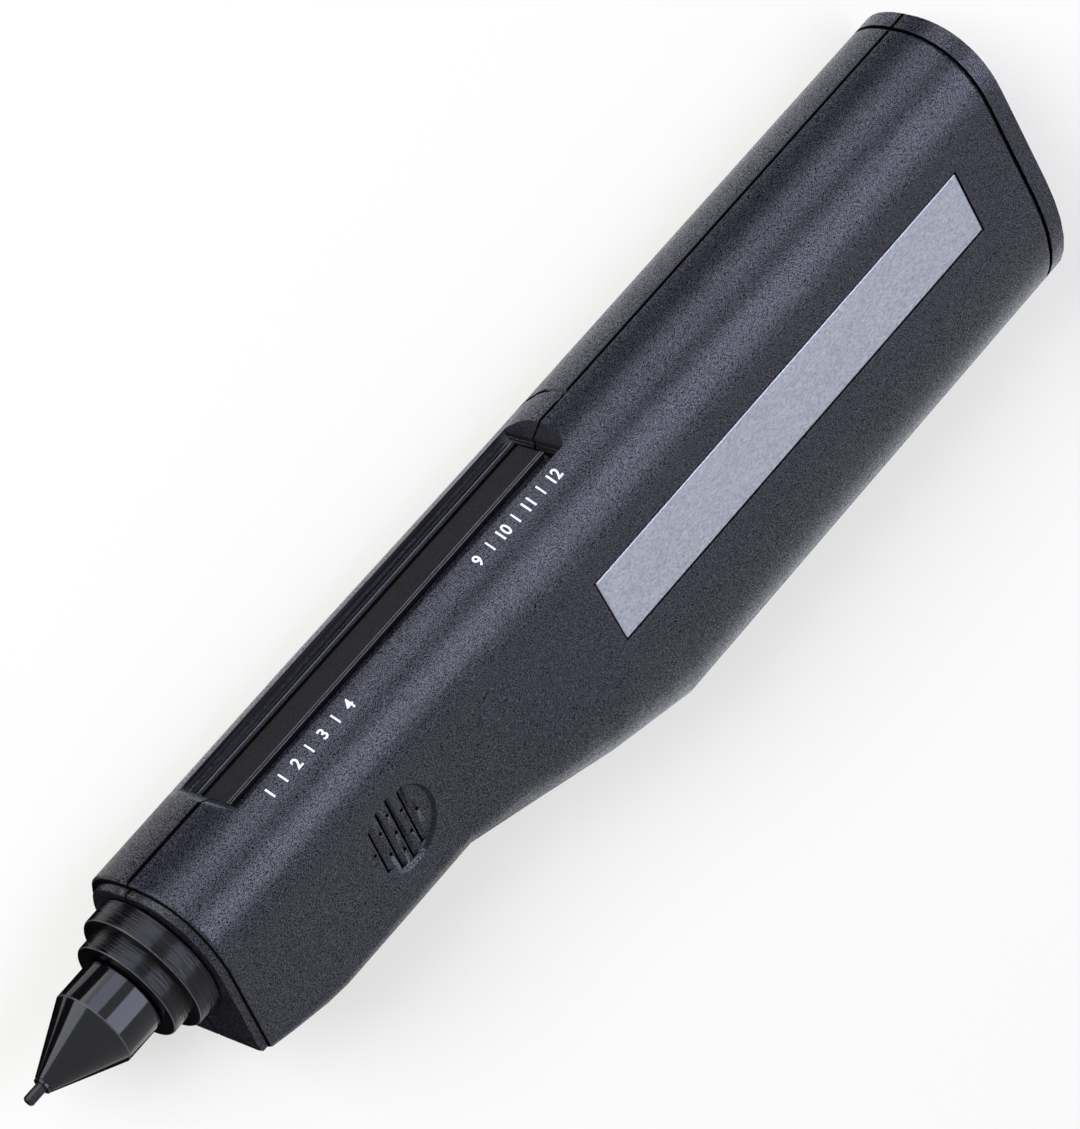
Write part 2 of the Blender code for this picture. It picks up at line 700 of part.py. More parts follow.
def cut_window(shell):
    """Recess with sloped ends, stepped ledges and a slot for the lens's stem."""
    above = HALF_WIDTH + OVERRUN
    front_wall = WINDOW_START + WINDOW_FRONT_RUN
    rear_wall = WINDOW_END - WINDOW_REAR_RUN
    sill = HALF_WIDTH - WINDOW_END_DROP
    front_tilt = OVERRUN * WINDOW_FRONT_RUN / WINDOW_END_DROP
    rear_tilt = OVERRUN * WINDOW_REAR_RUN / WINDOW_END_DROP
    outline = [
        (WINDOW_START - front_tilt, above),
        (front_wall, sill),
        (front_wall, LEDGE_Z),
        (rear_wall, LEDGE_Z),
        (rear_wall, sill),
        (WINDOW_END + rear_tilt, above),
    ]
    cut(shell, outline_solid("window_recess", outline, "XZ", WINDOW_HALF))
    for step in (1, 2):
        half = WINDOW_HALF - step * LEDGE_WIDTH
        end = step * LEDGE_WIDTH / 2
        ledge = box(
            f"window_ledge_{step}",
            (front_wall + end, -half, LEDGE_Z - step * LEDGE_STEP),
            (rear_wall - end, half, above),
        )
        cut(shell, ledge)
    slot_half = LENS_STEM_HALF + CLEAR
    slot = box(
        "lens_slot",
        (LENS_START - CLEAR, -slot_half, FLOOR_Z - RAIL_FLOOR - OVERRUN),
        (LENS_END + CLEAR, slot_half, HALF_WIDTH),
    )
    cut(shell, slot)


def cut_nose(shell):
    """Round hole that the collar's neck sits in."""
    length = FRONT_WALL + 2 * OVERRUN
    place = (LIP_START - OVERRUN, 0, PROBE_RISE)
    cut(shell, rod("nose_hole", NECK_RADIUS + CLEAR, "X", place, length, NOSE_SIDES))


def flank_frame(station, drop, side):
    """Matrix of a place on a flank: X rearwards, Y up the flank and Z outwards."""
    fall = (HALF_WIDTH - foot_half(station)) / (body_depth(station) - HALF_WIDTH)
    tilt = math.atan(fall)
    across = side * (HALF_WIDTH - drop * fall)
    turn = Matrix.Rotation(-side * (math.pi / 2 + tilt), 4, "X")
    if side == RIGHT:
        turn = turn @ Matrix.Rotation(math.pi, 4, "Z")
    return Matrix.Translation((station, across, -drop)) @ turn


def cut_grille(shell):
    """Shallow dish with louvred slots and rows of small blind holes."""
    frame = flank_frame(FACE_AT + GRILLE_SETBACK, GRILLE_DROP, LEFT)
    mouth = DISH_RADIUS + OVERRUN * DISH_SLOPE / DISH_DEPTH
    profile = [(0, OVERRUN), (mouth, OVERRUN), (DISH_RADIUS - DISH_SLOPE, -DISH_DEPTH), (0, -DISH_DEPTH)]
    dish = turned("grille_dish", profile, "Z", (0, 0, 0), DISH_SIDES)
    dish.matrix_world = frame
    cut(shell, dish)
    floor_radius = DISH_RADIUS - DISH_SLOPE
    through = -WALL - 2 * OVERRUN
    for number in range(LOUVRE_COUNT):
        start = number * LOUVRE_PITCH - LOUVRE_LEAD - LOUVRE_SLOT / 2
        slot_end = start + LOUVRE_SLOT
        ramp_end = slot_end + LOUVRE_RAMP
        half = math.sqrt(floor_radius ** 2 - max(abs(start), abs(ramp_end)) ** 2)
        outline = [
            (start, through),
            (slot_end, through),
            (slot_end, -DISH_DEPTH - LOUVRE_RAMP_DEPTH),
            (ramp_end, -DISH_DEPTH),
            (ramp_end, 0),
            (start, 0),
        ]
        slot = outline_solid(f"louvre_{number + 1}", outline, "XZ", half)
        slot.matrix_world = frame @ slot.matrix_world
        cut(shell, slot)
    land_width = LOUVRE_PITCH - LOUVRE_SLOT - LOUVRE_RAMP
    pair, triple = (-PIN_PAIR_HALF, PIN_PAIR_HALF), (-PIN_TRIPLE_HALF, 0, PIN_TRIPLE_HALF)
    for land, heights in enumerate(((0,), pair, triple, pair, (0,))):
        across = land * LOUVRE_PITCH - LOUVRE_LEAD - (LOUVRE_SLOT + land_width) / 2
        for row, up in enumerate(heights, 1):
            place = (across, up, -DISH_DEPTH - PIN_DEPTH)
            hole = rod(f"grille_hole_{land + 1}_{row}", PIN_RADIUS, "Z", place, PIN_DEPTH + OVERRUN, 8)
            hole.matrix_world = frame @ Matrix.Translation(place)
            cut(shell, hole)


def cut_screw_holes(shell, side):
    for number, (station, height, seat) in enumerate(SCREWS, 1):
        tip = seat + CLEAR - SCREW_LENGTH - SCREW_TIP_GAP
        low, high = (tip, OVERRUN) if side == LEFT else (-OVERRUN, seat + OVERRUN)
        place = (station, low, height)
        cut(shell, rod(f"screw_hole_{number}", SCREW_HOLE, "Y", place, high - low, THIN_SIDES))
        if side == RIGHT:
            place = (station, seat, height)
            cut(shell, rod(f"counterbore_{number}", COUNTERBORE, "Y", place, HALF_WIDTH, SMALL_SIDES))


def left_shell():
    shell = half_body("left_shell", LEFT, outer_rings(), PAST_SHELL)
    cut(shell, cavity("left_cavity", LEFT, INNER_REAR))
    inner = join(window_rails(LEFT), bosses(LEFT))
    join(inner, bay_ribs())
    limit_rings = [(station, WALL / 2) for station in body_stations(FACE_AT + EDGE_ROUND, INNER_REAR)]
    keep_inside(inner, half_body("left_limit", LEFT, limit_rings, PAST_CUTTER))
    join(shell, inner)
    trim_at_seam(shell, LEFT)
    cut_window(shell)
    cut_nose(shell)
    cut_grille(shell)
    cut_screw_holes(shell, LEFT)
    length, thickness, height = PLATE_SIZE
    start = GRIP_AT - PLATE_LEAD
    floor = HALF_WIDTH - PLATE_BELOW_FLANK - thickness - CLEAR
    recess = box(
        "plate_recess",
        (start - CLEAR, -HALF_WIDTH - OVERRUN, -PLATE_DROP - height / 2 - CLEAR),
        (start + length + CLEAR, -floor, -PLATE_DROP + height / 2 + CLEAR),
    )
    cut(shell, recess)
    return shell


def right_shell():
    """Full skin ahead of the door, and a thinner tray skin under it that the battery goes into."""
    shell = half_body("right_shell", RIGHT, outer_rings(), PAST_SHELL)
    cut(shell, door_region("door_region", DOOR_ARC_RADIUS))
    tray_inset = DOOR_SKIN + CLEAR
    tray_end = INNER_REAR - CLEAR
    tray_start = DOOR_NOSE_AT - 2 * WALL
    rings = [(station, tray_inset) for station in body_stations(tray_start, tray_end)]
    join(shell, half_body("tray", RIGHT, rings, PAST_TRAY))
    cut(shell, cavity("right_cavity", RIGHT, REAR_AT))
    inner = join(window_rails(RIGHT), bosses(RIGHT))
    limit_inset = tray_inset + TRAY_SKIN / 2
    limit_rings = [(station, limit_inset) for station in body_stations(FACE_AT + EDGE_ROUND, tray_end)]
    keep_inside(inner, half_body("right_limit", RIGHT, limit_rings, PAST_CUTTER))
    join(shell, inner)
    trim_at_seam(shell, RIGHT)
    cut_window(shell)
    cut_nose(shell)
    cut_screw_holes(shell, RIGHT)
    half_height = BATTERY_HEIGHT / 2 + BAY_SIDE_MARGIN
    bay = box(
        "battery_bay",
        (SNAP_START, -OVERRUN, -BATTERY_DROP - half_height),
        (BATTERY_END + BAY_MARGIN, HALF_WIDTH + OVERRUN, -BATTERY_DROP + half_height),
    )
    cut(shell, bay)
    station, height = switch_place()
    half_long = KNOB_LENGTH / 2
    knob_slot = box(
        "knob_slot",
        (station - half_long - CLEAR, 0, height - KNOB_HEIGHT / 2 - CLEAR),
        (station + half_long + SWITCH_TRAVEL + CLEAR, HALF_WIDTH + OVERRUN, height + KNOB_HEIGHT / 2 + CLEAR),
    )
    cut(shell, knob_slot)
    return shell


def battery_door():
    """Skin of the grip's right half with its end wall; it slides off rearwards."""
    door = half_body("battery_door", RIGHT, outer_rings())
    keep_inside(door, door_region("door_edge", DOOR_ARC_RADIUS - CLEAR))
    rings = [(DOOR_NOSE_AT - OVERRUN, DOOR_SKIN), (INNER_REAR, DOOR_SKIN)]
    cut(door, half_body("door_hollow", RIGHT, rings, PAST_CUTTER, GRIP_AT))
    return door


def nameplate():
    length, thickness, height = PLATE_SIZE
    start = GRIP_AT - PLATE_LEAD
    face = HALF_WIDTH - PLATE_BELOW_FLANK
    return box(
        "nameplate",
        (start, -face, -PLATE_DROP - height / 2),
        (start + length, thickness - face, -PLATE_DROP + height / 2),
        PLATE_BEVEL,
        1,
    )


def window_lens():
    """T-shaped light guide: a strip in the recess with a stem down to the lamps."""
    outline = [
        (-LENS_HALF, LENS_TOP),
        (LENS_HALF, LENS_TOP),
        (LENS_HALF, LENS_TOP - LENS_THICKNESS),
        (LENS_STEM_HALF, LENS_TOP - LENS_THICKNESS),
        (LENS_STEM_HALF, LENS_STEM_END),
        (-LENS_STEM_HALF, LENS_STEM_END),
        (-LENS_STEM_HALF, LENS_TOP - LENS_THICKNESS),
        (-LENS_HALF, LENS_TOP - LENS_THICKNESS),
    ]
    middle = (LENS_START + LENS_END) / 2
    return outline_solid("window_lens", outline, "YZ", (LENS_END - LENS_START) / 2, (middle, 0, 0))


def nose_cone():
    """Cone and glossy barrel in one turning, with a spigot that fits the collar."""
    bore = TIP_RADIUS + CLEAR / 2
    chamber = PLUNGER_BORE
    profile = [
        (chamber, SPIGOT_END),
        (SPIGOT_RADIUS, SPIGOT_END),
        (SPIGOT_RADIUS, BARREL_END),
        (BARREL_RADIUS, BARREL_END),
        (BARREL_RADIUS, BARREL_START),
        (CONE_RIM_RADIUS, CONE_START),
        (bore, CONE_START),
        (bore, CHAMBER_START),
        (chamber, CHAMBER_START),
    ]
    return turned("nose_cone", profile, "X", (0, 0, PROBE_RISE), NOSE_SIDES)


def probe_collar():
    """Two-stepped collar with a neck held in the housing's front wall and a bored tail."""
    socket = SPIGOT_RADIUS + CLEAR
    socket_end = SPIGOT_END + CLEAR
    profile = [
        (PLUNGER_BORE, TAIL_END),
        (TAIL_RADIUS, TAIL_END),
        (TAIL_RADIUS, FLANGE_END),
        (FLANGE_RADIUS, FLANGE_END),
        (FLANGE_RADIUS, FLANGE_START),
        (NECK_RADIUS, FLANGE_START),
        (NECK_RADIUS, COLLAR_END),
        (REAR_COLLAR_RADIUS, COLLAR_END),
        (REAR_COLLAR_RADIUS, COLLAR_STEP + COLLAR_BEVEL),
        (REAR_COLLAR_RADIUS - COLLAR_BEVEL, COLLAR_STEP),
        (FRONT_COLLAR_RADIUS, COLLAR_STEP),
        (FRONT_COLLAR_RADIUS, COLLAR_START + COLLAR_BEVEL),
        (FRONT_COLLAR_RADIUS - COLLAR_BEVEL, COLLAR_START),
        (socket, COLLAR_START),
        (socket, socket_end),
        (PLUNGER_BORE, socket_end),
    ]
    return turned("probe_collar", profile, "X", (0, 0, PROBE_RISE), NOSE_SIDES)


def probe_pieces():
    """Tip rod, heater and the plunger that carries both."""
    rounded = [(TIP_RADIUS, TIP_ROUND), (TIP_RADIUS - TIP_ROUND, 0), (0, 0)]
    place = (0, 0, PROBE_RISE)
    tip = turned("probe_tip", [(0, TIP_END), (TIP_RADIUS, TIP_END)] + rounded, "X", place, THIN_SIDES)
    heater_place = (HEATER_START, 0, PROBE_RISE)
    heater = rod("probe_heater", HEATER_RADIUS, "X", heater_place, HEATER_LENGTH, THIN_SIDES)
    bore = HEATER_RADIUS + CLEAR
    profile = [
        (bore, PLUNGER_END),
        (PLUNGER_RADIUS, PLUNGER_END),
        (PLUNGER_RADIUS, PLUNGER_START),
        (TIP_RADIUS + CLEAR, PLUNGER_START),
        (TIP_RADIUS + CLEAR, TIP_END),
        (bore, TIP_END),
    ]
    plunger = turned("probe_plunger", profile, "X", place, TURNED_SIDES)
    return [tip, heater, plunger]


def spring_route():
    """Points of the coil from the heater's back to the spring plug."""
    start = HEATER_END + CLEAR + SPRING_WIRE_RADIUS
    end = PLUG_START - CLEAR - SPRING_WIRE_RADIUS
    count = SPRING_CURLS * CURL_POINTS
    route = []
    for step in range(count + 1):
        angle = 2 * math.pi * step / CURL_POINTS
        station = start + (end - start) * step / count
        route.append((station, SPRING_RADIUS * math.cos(angle), SPRING_RADIUS * math.sin(angle)))
    return route


def probe_spring():
    route = spring_route()
    nearest = min(
        math.dist(first, second)
        for index, first in enumerate(route)
        for second in route[index + CURL_POINTS // 2:]
    )
    print(f"probe_spring: least gap to itself {(nearest - 2 * SPRING_WIRE_RADIUS) * 1000:.2f} mm")
    spring = tube("probe_spring", route, SPRING_WIRE_RADIUS, 1)
    spring.location.z = PROBE_RISE
    return spring


def spring_plug():
    """Plug in the collar's tail that the spring pushes on."""
    cap_start = TAIL_END + CLEAR
    profile = [
        (0, PLUG_END),
        (PLUG_CAP_RADIUS, PLUG_END),
        (PLUG_CAP_RADIUS, cap_start),
        (PLUNGER_RADIUS, cap_start),
        (PLUNGER_RADIUS, PLUG_START),
        (0, PLUG_START),
    ]
    return turned("spring_plug", profile, "X", (0, 0, PROBE_RISE), TURNED_SIDES)


def circuit_board():
    board = box(
        "circuit_board",
        (BOARD_START, -BOARD_FACE, BOARD_BOTTOM),
        (BOARD_END, BOARD_FACE, BOARD_TOP),
    )
    for number, (station, height, seat) in enumerate(SCREWS, 1):
        if seat == BOARD_SCREW_SEAT:
            place = (station, -BOARD_FACE - OVERRUN, height)
            length = BOARD_THICKNESS + 2 * OVERRUN
            cut(board, rod(f"board_hole_{number}", BOARD_HOLE_RADIUS, "Y", place, length, THIN_SIDES))
    return board


def lamps():
    """Row of round-topped lamps on the board's top edge, and the bar that holds them upright."""
    profile = [(0, LAMP_HEIGHT)]
    straight = LAMP_HEIGHT - LAMP_RADIUS
    for step in (1, 2, 3):
        angle = math.pi / 2 * step / 3
        profile.append((LAMP_RADIUS * math.sin(angle), straight + LAMP_RADIUS * math.cos(angle)))
    profile += [(LAMP_RADIUS, 0), (0, 0)]
    low = BOARD_TOP + HOLDER_LIFT
    end = LAMP_RADIUS + LAMP_FIT + RAIL_WALL
    holder = box(
        "led_holder",
        (LAMP_FIRST - end, -HOLDER_HALF, low),
        (LAMP_FIRST + LAMP_ROW + end, HOLDER_HALF, low + HOLDER_HEIGHT),
    )
    made = [holder]
    for number in range(LAMP_COUNT):
        station = LAMP_FIRST + number * LAMP_PITCH
        lamp = turned(f"led_{number + 1}", profile, "Z", (station, 0, LAMP_BASE), LAMP_SIDES)
        made.append(lamp)
        length = HOLDER_HEIGHT + 2 * OVERRUN
        place = (station, 0, low - OVERRUN)
        cut(holder, rod(f"lamp_hole_{number + 1}", LAMP_RADIUS + LAMP_FIT, "Z", place, length, LAMP_HOLE_SIDES))
    return made


def sound_buzzer():
    """Round sounder behind the grille, its mouth towards the louvres."""
    inner = SOUNDER_HEIGHT / 3
    profile = [
        (0, SOUNDER_HEIGHT),
        (SOUNDER_RADIUS, SOUNDER_HEIGHT),
        (SOUNDER_RADIUS, 0),
        (SOUNDER_MOUTH, 0),
        (SOUNDER_MOUTH, inner),
        (0, inner),
    ]
    place = (FACE_AT + GRILLE_SETBACK, -PART_BASE - SOUNDER_HEIGHT, -GRILLE_DROP)
    return turned("sound_buzzer", profile, "Y", place, SOUNDER_SIDES)


def board_box(name, size, setback, drop, side, bevel=0.0):
    """A component standing on one face of the board."""
    length, thickness, height = size
    near, far = side * PART_BASE, side * (PART_BASE + thickness)
    station, middle = BOARD_START + setback, BOARD_TOP - drop
    low = (station - length / 2, min(near, far), middle - height / 2)
    high = (station + length / 2, max(near, far), middle + height / 2)
    return box(name, low, high, bevel, 1)


def board_components():
    chip = board_box("controller_chip", CHIP_SIZE, CHIP_SETBACK, CHIP_DROP, LEFT, CHIP_BEVEL)
    place = (BOARD_START + CAPACITOR_SETBACK, -PART_BASE - CAPACITOR_HEIGHT, BOARD_TOP - CAPACITOR_DROP)
    rim = CAPACITOR_RADIUS - CAPACITOR_ROUND
    profile = [
        (0, CAPACITOR_HEIGHT),
        (CAPACITOR_RADIUS, CAPACITOR_HEIGHT),
        (CAPACITOR_RADIUS, CAPACITOR_ROUND),
        (rim, 0),
        (0, 0),
    ]
    capacitor = turned("power_capacitor", profile, "Y", place, SMALL_SIDES)
    trimmer = board_box("trim_pot", TRIMMER_SIZE, TRIMMER_SETBACK, TRIMMER_DROP, RIGHT)
    face = PART_BASE + TRIMMER_SIZE[1]
    place = Vector((BOARD_START + TRIMMER_SETBACK, face - OVERRUN, BOARD_TOP - TRIMMER_DROP))
    dial = rod("dial", TRIMMER_DIAL_RADIUS, "Y", place, OVERRUN + TRIMMER_DIAL_HEIGHT, THIN_SIDES)
    join(trimmer, dial)
    half = TRIMMER_NOTCH / 2
    notch = box(
        "dial_notch",
        (place.x - TRIMMER_SIZE[0], face + TRIMMER_DIAL_HEIGHT - TRIMMER_NOTCH, place.z - half),
        (place.x + TRIMMER_SIZE[0], face + 2 * TRIMMER_DIAL_HEIGHT, place.z + half),
    )
    cut(trimmer, notch)
    return [chip, capacitor, trimmer]


def switch_place():
    """Station and height of the knob's rest position."""
    return BOARD_START + SWITCH_SETBACK - SWITCH_TRAVEL / 2, BOARD_TOP - SWITCH_DROP


def power_switch():
    body = board_box("switch_body", SWITCH_SIZE, SWITCH_SETBACK, SWITCH_DROP, RIGHT)
    station, height = switch_place()
    face = PART_BASE + SWITCH_SIZE[1]
    half_long, half_high = KNOB_STEM_LENGTH / 2, KNOB_STEM_HEIGHT / 2
    slot = box(
        "switch_slot",
        (station - half_long - CLEAR, face - SWITCH_SLOT_DEPTH, height - half_high - CLEAR),
        (station + half_long + SWITCH_TRAVEL + CLEAR, face + OVERRUN, height + half_high + CLEAR),
    )
    cut(body, slot)
    knob = box(
        "switch_knob",
        (station - KNOB_LENGTH / 2, face + CLEAR, height - KNOB_HEIGHT / 2),
        (station + KNOB_LENGTH / 2, HALF_WIDTH - KNOB_BELOW_FLANK, height + KNOB_HEIGHT / 2),
    )
    stem = box(
        "stem",
        (station - half_long, face - KNOB_STEM_REACH, height - half_high),
        (station + half_long, face + 2 * CLEAR, height + half_high),
    )
    join(knob, stem)
    face = HALF_WIDTH - KNOB_BELOW_FLANK
    for number in range(KNOB_RIB_COUNT):
        middle = station + (number - (KNOB_RIB_COUNT - 1) / 2) * KNOB_RIB_PITCH
        groove = box(
            f"knob_groove_{number + 1}",
            (middle - KNOB_RIB_CUT / 2, face - KNOB_RIB_CUT, height - KNOB_HEIGHT),
            (middle + KNOB_RIB_CUT / 2, face + OVERRUN, height + KNOB_HEIGHT),
        )
        cut(knob, groove)
    return body, knob


def battery():
    """Block battery with its two studs towards the front."""
    half_wide, half_high = BATTERY_THICKNESS / 2, BATTERY_HEIGHT / 2
    block = box(
        "battery",
        (BATTERY_START, -half_wide, -BATTERY_DROP - half_high),
        (BATTERY_END, half_wide, -BATTERY_DROP + half_high),
    )
    edges = block.modifiers.new("Bevel", "BEVEL")
    edges.width = BATTERY_ROUND
    edges.segments = 3
    edges.limit_method = "ANGLE"
    apply_modifiers(block)
    for radius, side in ((SMALL_STUD_RADIUS, 1), (LARGE_STUD_RADIUS, -1)):
        place = (BATTERY_START - STUD_HEIGHT, 0, -BATTERY_DROP + side * STUD_SPACING / 2)
        join(block, rod("stud", radius, "X", place, STUD_HEIGHT + OVERRUN, THIN_SIDES))
    return block


def battery_snap():
    """Snap plate with a blind pocket over each stud."""
    half_wide = BATTERY_THICKNESS / 2 - SNAP_MARGIN
    half_high = BATTERY_HEIGHT / 2 - SNAP_MARGIN
    plate = box(
        "battery_snap",
        (SNAP_START, -half_wide, -BATTERY_DROP - half_high),
        (SNAP_END, half_wide, -BATTERY_DROP + half_high),
        SOFT_EDGE,
        1,
    )
    depth = STUD_HEIGHT
    for radius, side in ((SMALL_STUD_RADIUS, 1), (LARGE_STUD_RADIUS, -1)):
        place = (SNAP_END - depth, 0, -BATTERY_DROP + side * STUD_SPACING / 2)
        pocket = rod(f"stud_pocket_{2 - max(side, 0)}", radius + CLEAR, "X", place, depth + OVERRUN, THIN_SIDES)
        cut(plate, pocket)
    return plate


def battery_pad():
    """Foam pad between the battery and the end wall."""
    start = BATTERY_END + CLEAR
    half_wide, half_high = PAD_SHARE * BATTERY_THICKNESS / 2, PAD_SHARE * BATTERY_HEIGHT / 2
    return box(
        "battery_pad",
        (start, -half_wide, -BATTERY_DROP - half_high),
        (start + PAD_THICKNESS, half_wide, -BATTERY_DROP + half_high),
        SOFT_EDGE,
        1,
    )


def case_screws():
    """Pan-head screws from the right, each with a cross recess."""
    head = SCREW_HEAD_HEIGHT - SCREW_HEAD_ROUND
    profile = [
        (0, SCREW_HEAD_HEIGHT),
        (SCREW_HEAD_RADIUS - SCREW_HEAD_ROUND, SCREW_HEAD_HEIGHT),
        (SCREW_HEAD_RADIUS, head),
        (SCREW_HEAD_RADIUS, 0),
        (SCREW_RADIUS, 0),
        (SCREW_RADIUS, -SCREW_LENGTH + SCREW_RADIUS),
        (0, -SCREW_LENGTH),
    ]
    first = turned("case_screw_1", profile, "Y", (0, 0, 0), THIN_SIDES)
    reach, half = SCREW_CROSS_SHARE * SCREW_HEAD_RADIUS, SCREW_CROSS_WIDTH / 2
    depth = SCREW_HEAD_HEIGHT / 2
    top = SCREW_HEAD_HEIGHT + OVERRUN
    cut(first, box("cross_1", (-reach, depth, -half), (reach, top, half)))
    cut(first, box("cross_2", (-half, depth, -reach), (half, top, reach)))
    made = [first]
    for number in range(2, len(SCREWS) + 1):
        screw = bpy.data.objects.new(f"case_screw_{number}", first.data)
        parts.objects.link(screw)
        made.append(screw)
    for screw, (station, height, seat) in zip(made, SCREWS):
        screw.location = (station, seat + CLEAR, height)
    return made


def smooth_route(places, count):
    """Points along one cubic curve through two ends, pulled by two guide places."""
    first, near, far, last = (Vector(place) for place in places)
    route = []
    for step in range(count + 1):
        t = step / count
        rest = 1 - t
        route.append(first * rest ** 3 + near * 3 * rest ** 2 * t + far * 3 * rest * t ** 2 + last * t ** 3)
    return route


def wires():
    """Two probe leads along the board's faces, and the snap's two leads through the bulkhead."""
    made = []
    start = PLUG_END + CLEAR
    offset = PART_BASE + PROBE_LEAD_RADIUS
    for number, side in enumerate((LEFT, RIGHT), 1):
        ends = [(start, side * offset, PROBE_RISE), (BOARD_START + PROBE_LEAD_REACH, side * offset, PROBE_RISE)]
        made.append(tube(f"probe_lead_{number}", ends, PROBE_LEAD_RADIUS, 2))
    on_board = -PART_BASE - SNAP_LEAD_RADIUS
    in_notch = -(NOTCH_NEAR + NOTCH_FAR) / 2
    behind = SNAP_START - CLEAR
    reach = (behind - BOARD_END) / 2
    for name, side in (("snap_lead_red", 1), ("snap_lead_black", -1)):
        height = -BATTERY_DROP + side * SNAP_LEAD_SPREAD / 2
        places = [
            (behind, in_notch, height),
            (behind - reach, in_notch - SNAP_LEAD_SAG, height),
            (behind - reach, on_board, height + side * SNAP_LEAD_SPREAD),
            (BOARD_END - SNAP_LEAD_REACH, on_board, height + side * SNAP_LEAD_SPREAD),
        ]
        made.append(tube(name, smooth_route(places, SNAP_LEAD_POINTS), SNAP_LEAD_RADIUS, 2))
    return made


def finish(objects, look):
    """Give the pieces one material and smooth their round faces."""
    for obj in objects:
        obj.data.materials.clear()
        obj.data.materials.append(look)
        obj.data.shade_smooth()
        obj.data.set_sharp_from_angle(angle=math.radians(30))


def empty(name, place, parent=None):
    holder = bpy.data.objects.new(name, None)
    parts.objects.link(holder)
    holder.location = place
    holder.parent = parent
    return holder


def attach(objects, parent):
    """Parent pieces to an empty on their joint's axis, leaving them where they are."""
    for obj in objects:
        obj.parent = parent
        obj.location = obj.location - parent.location


def build():
    clear_scene()
    lamp_holder, *lamp_row = lamps()
    tip, heater, plunger = probe_pieces()
    chip, capacitor, trimmer = board_components()
    switch, knob = power_switch()
    probe_lead_1, probe_lead_2, red_lead, black_lead = wires()
    screws = case_screws()
    door = battery_door()
    collar, cone, spring, plug = probe_collar(), nose_cone(), probe_spring(), spring_plug()
    left, right, plate, lens = left_shell(), right_shell(), nameplate(), window_lens()
    board, sounder = circuit_board(), sound_buzzer()
    block, snap, pad = battery(), battery_snap(), battery_pad()

    finish([left, right, door], material("charcoal_abs", (0.072, 0.073, 0.082), 0.5))
    finish([collar], material("satin_black", (0.03, 0.03, 0.033), 0.4))
    finish([cone], material("gloss_black", (0.008, 0.008, 0.009), 0.12))
    finish([tip], material("probe_rod", (0.05, 0.048, 0.047), 0.35, 0.8))
    finish([plunger, plug], material("turned_brass", (0.7, 0.53, 0.25), 0.35, 1.0))
    finish([heater], material("ceramic_heater", (0.8, 0.77, 0.7), 0.6))
    finish([spring, *screws], material("zinc_steel", (0.6, 0.6, 0.58), 0.35, 1.0))
    finish([plate], material("brushed_aluminium", (0.55, 0.55, 0.56), 0.35, 1.0))
    finish([lens], material("smoked_acrylic", (0.03, 0.03, 0.034), 0.2))
    finish([board], material("green_board", (0.03, 0.16, 0.07), 0.5))
    finish(lamp_row, material("lamp_resin", (0.75, 0.25, 0.2), 0.3))
    finish([lamp_holder, sounder, chip], material("black_plastic", (0.02, 0.02, 0.021), 0.45))
    finish([capacitor, trimmer], material("blue_plastic", (0.04, 0.1, 0.3), 0.45))
    finish([switch, snap], material("dark_fibre", (0.05, 0.045, 0.04), 0.7))
    finish([knob], material("knob_plastic", (0.03, 0.03, 0.03), 0.5))
    finish([block], material("battery_can", (0.2, 0.2, 0.22), 0.35, 0.8))
    finish([pad], material("grey_foam", (0.12, 0.12, 0.12), 0.95))
    finish([red_lead], material("red_sleeve", (0.5, 0.03, 0.03), 0.5))
    finish([black_lead], material("black_sleeve", (0.015, 0.015, 0.015), 0.5))
    finish([probe_lead_1, probe_lead_2], material("white_sleeve", (0.7, 0.7, 0.68), 0.5))

    root = empty("tester", (0, 0, 0))
    probe_slide = empty("probe_slide", (0, 0, PROBE_RISE), root)
    door_slide = empty("door_slide", (DOOR_NOSE_AT, 0, -MID_DROP), root)
    station, height = switch_place()
    knob_slide = empty("knob_slide", (station, HALF_WIDTH, height), root)
    attach([tip, heater, plunger], probe_slide)
    attach([door], door_slide)
    attach([knob], knob_slide)
    for obj in list(parts.objects) + list(cutters.objects):
        if obj.parent is None and obj is not root:
            obj.parent = root
    root.location = (REAR_AT / 2, -MID_DROP, HALF_WIDTH)
    root.rotation_euler = (-math.pi / 2, 0, math.pi)


build()
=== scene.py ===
import math

import bmesh
import bpy
import numpy as np
from mathutils import Matrix, Vector


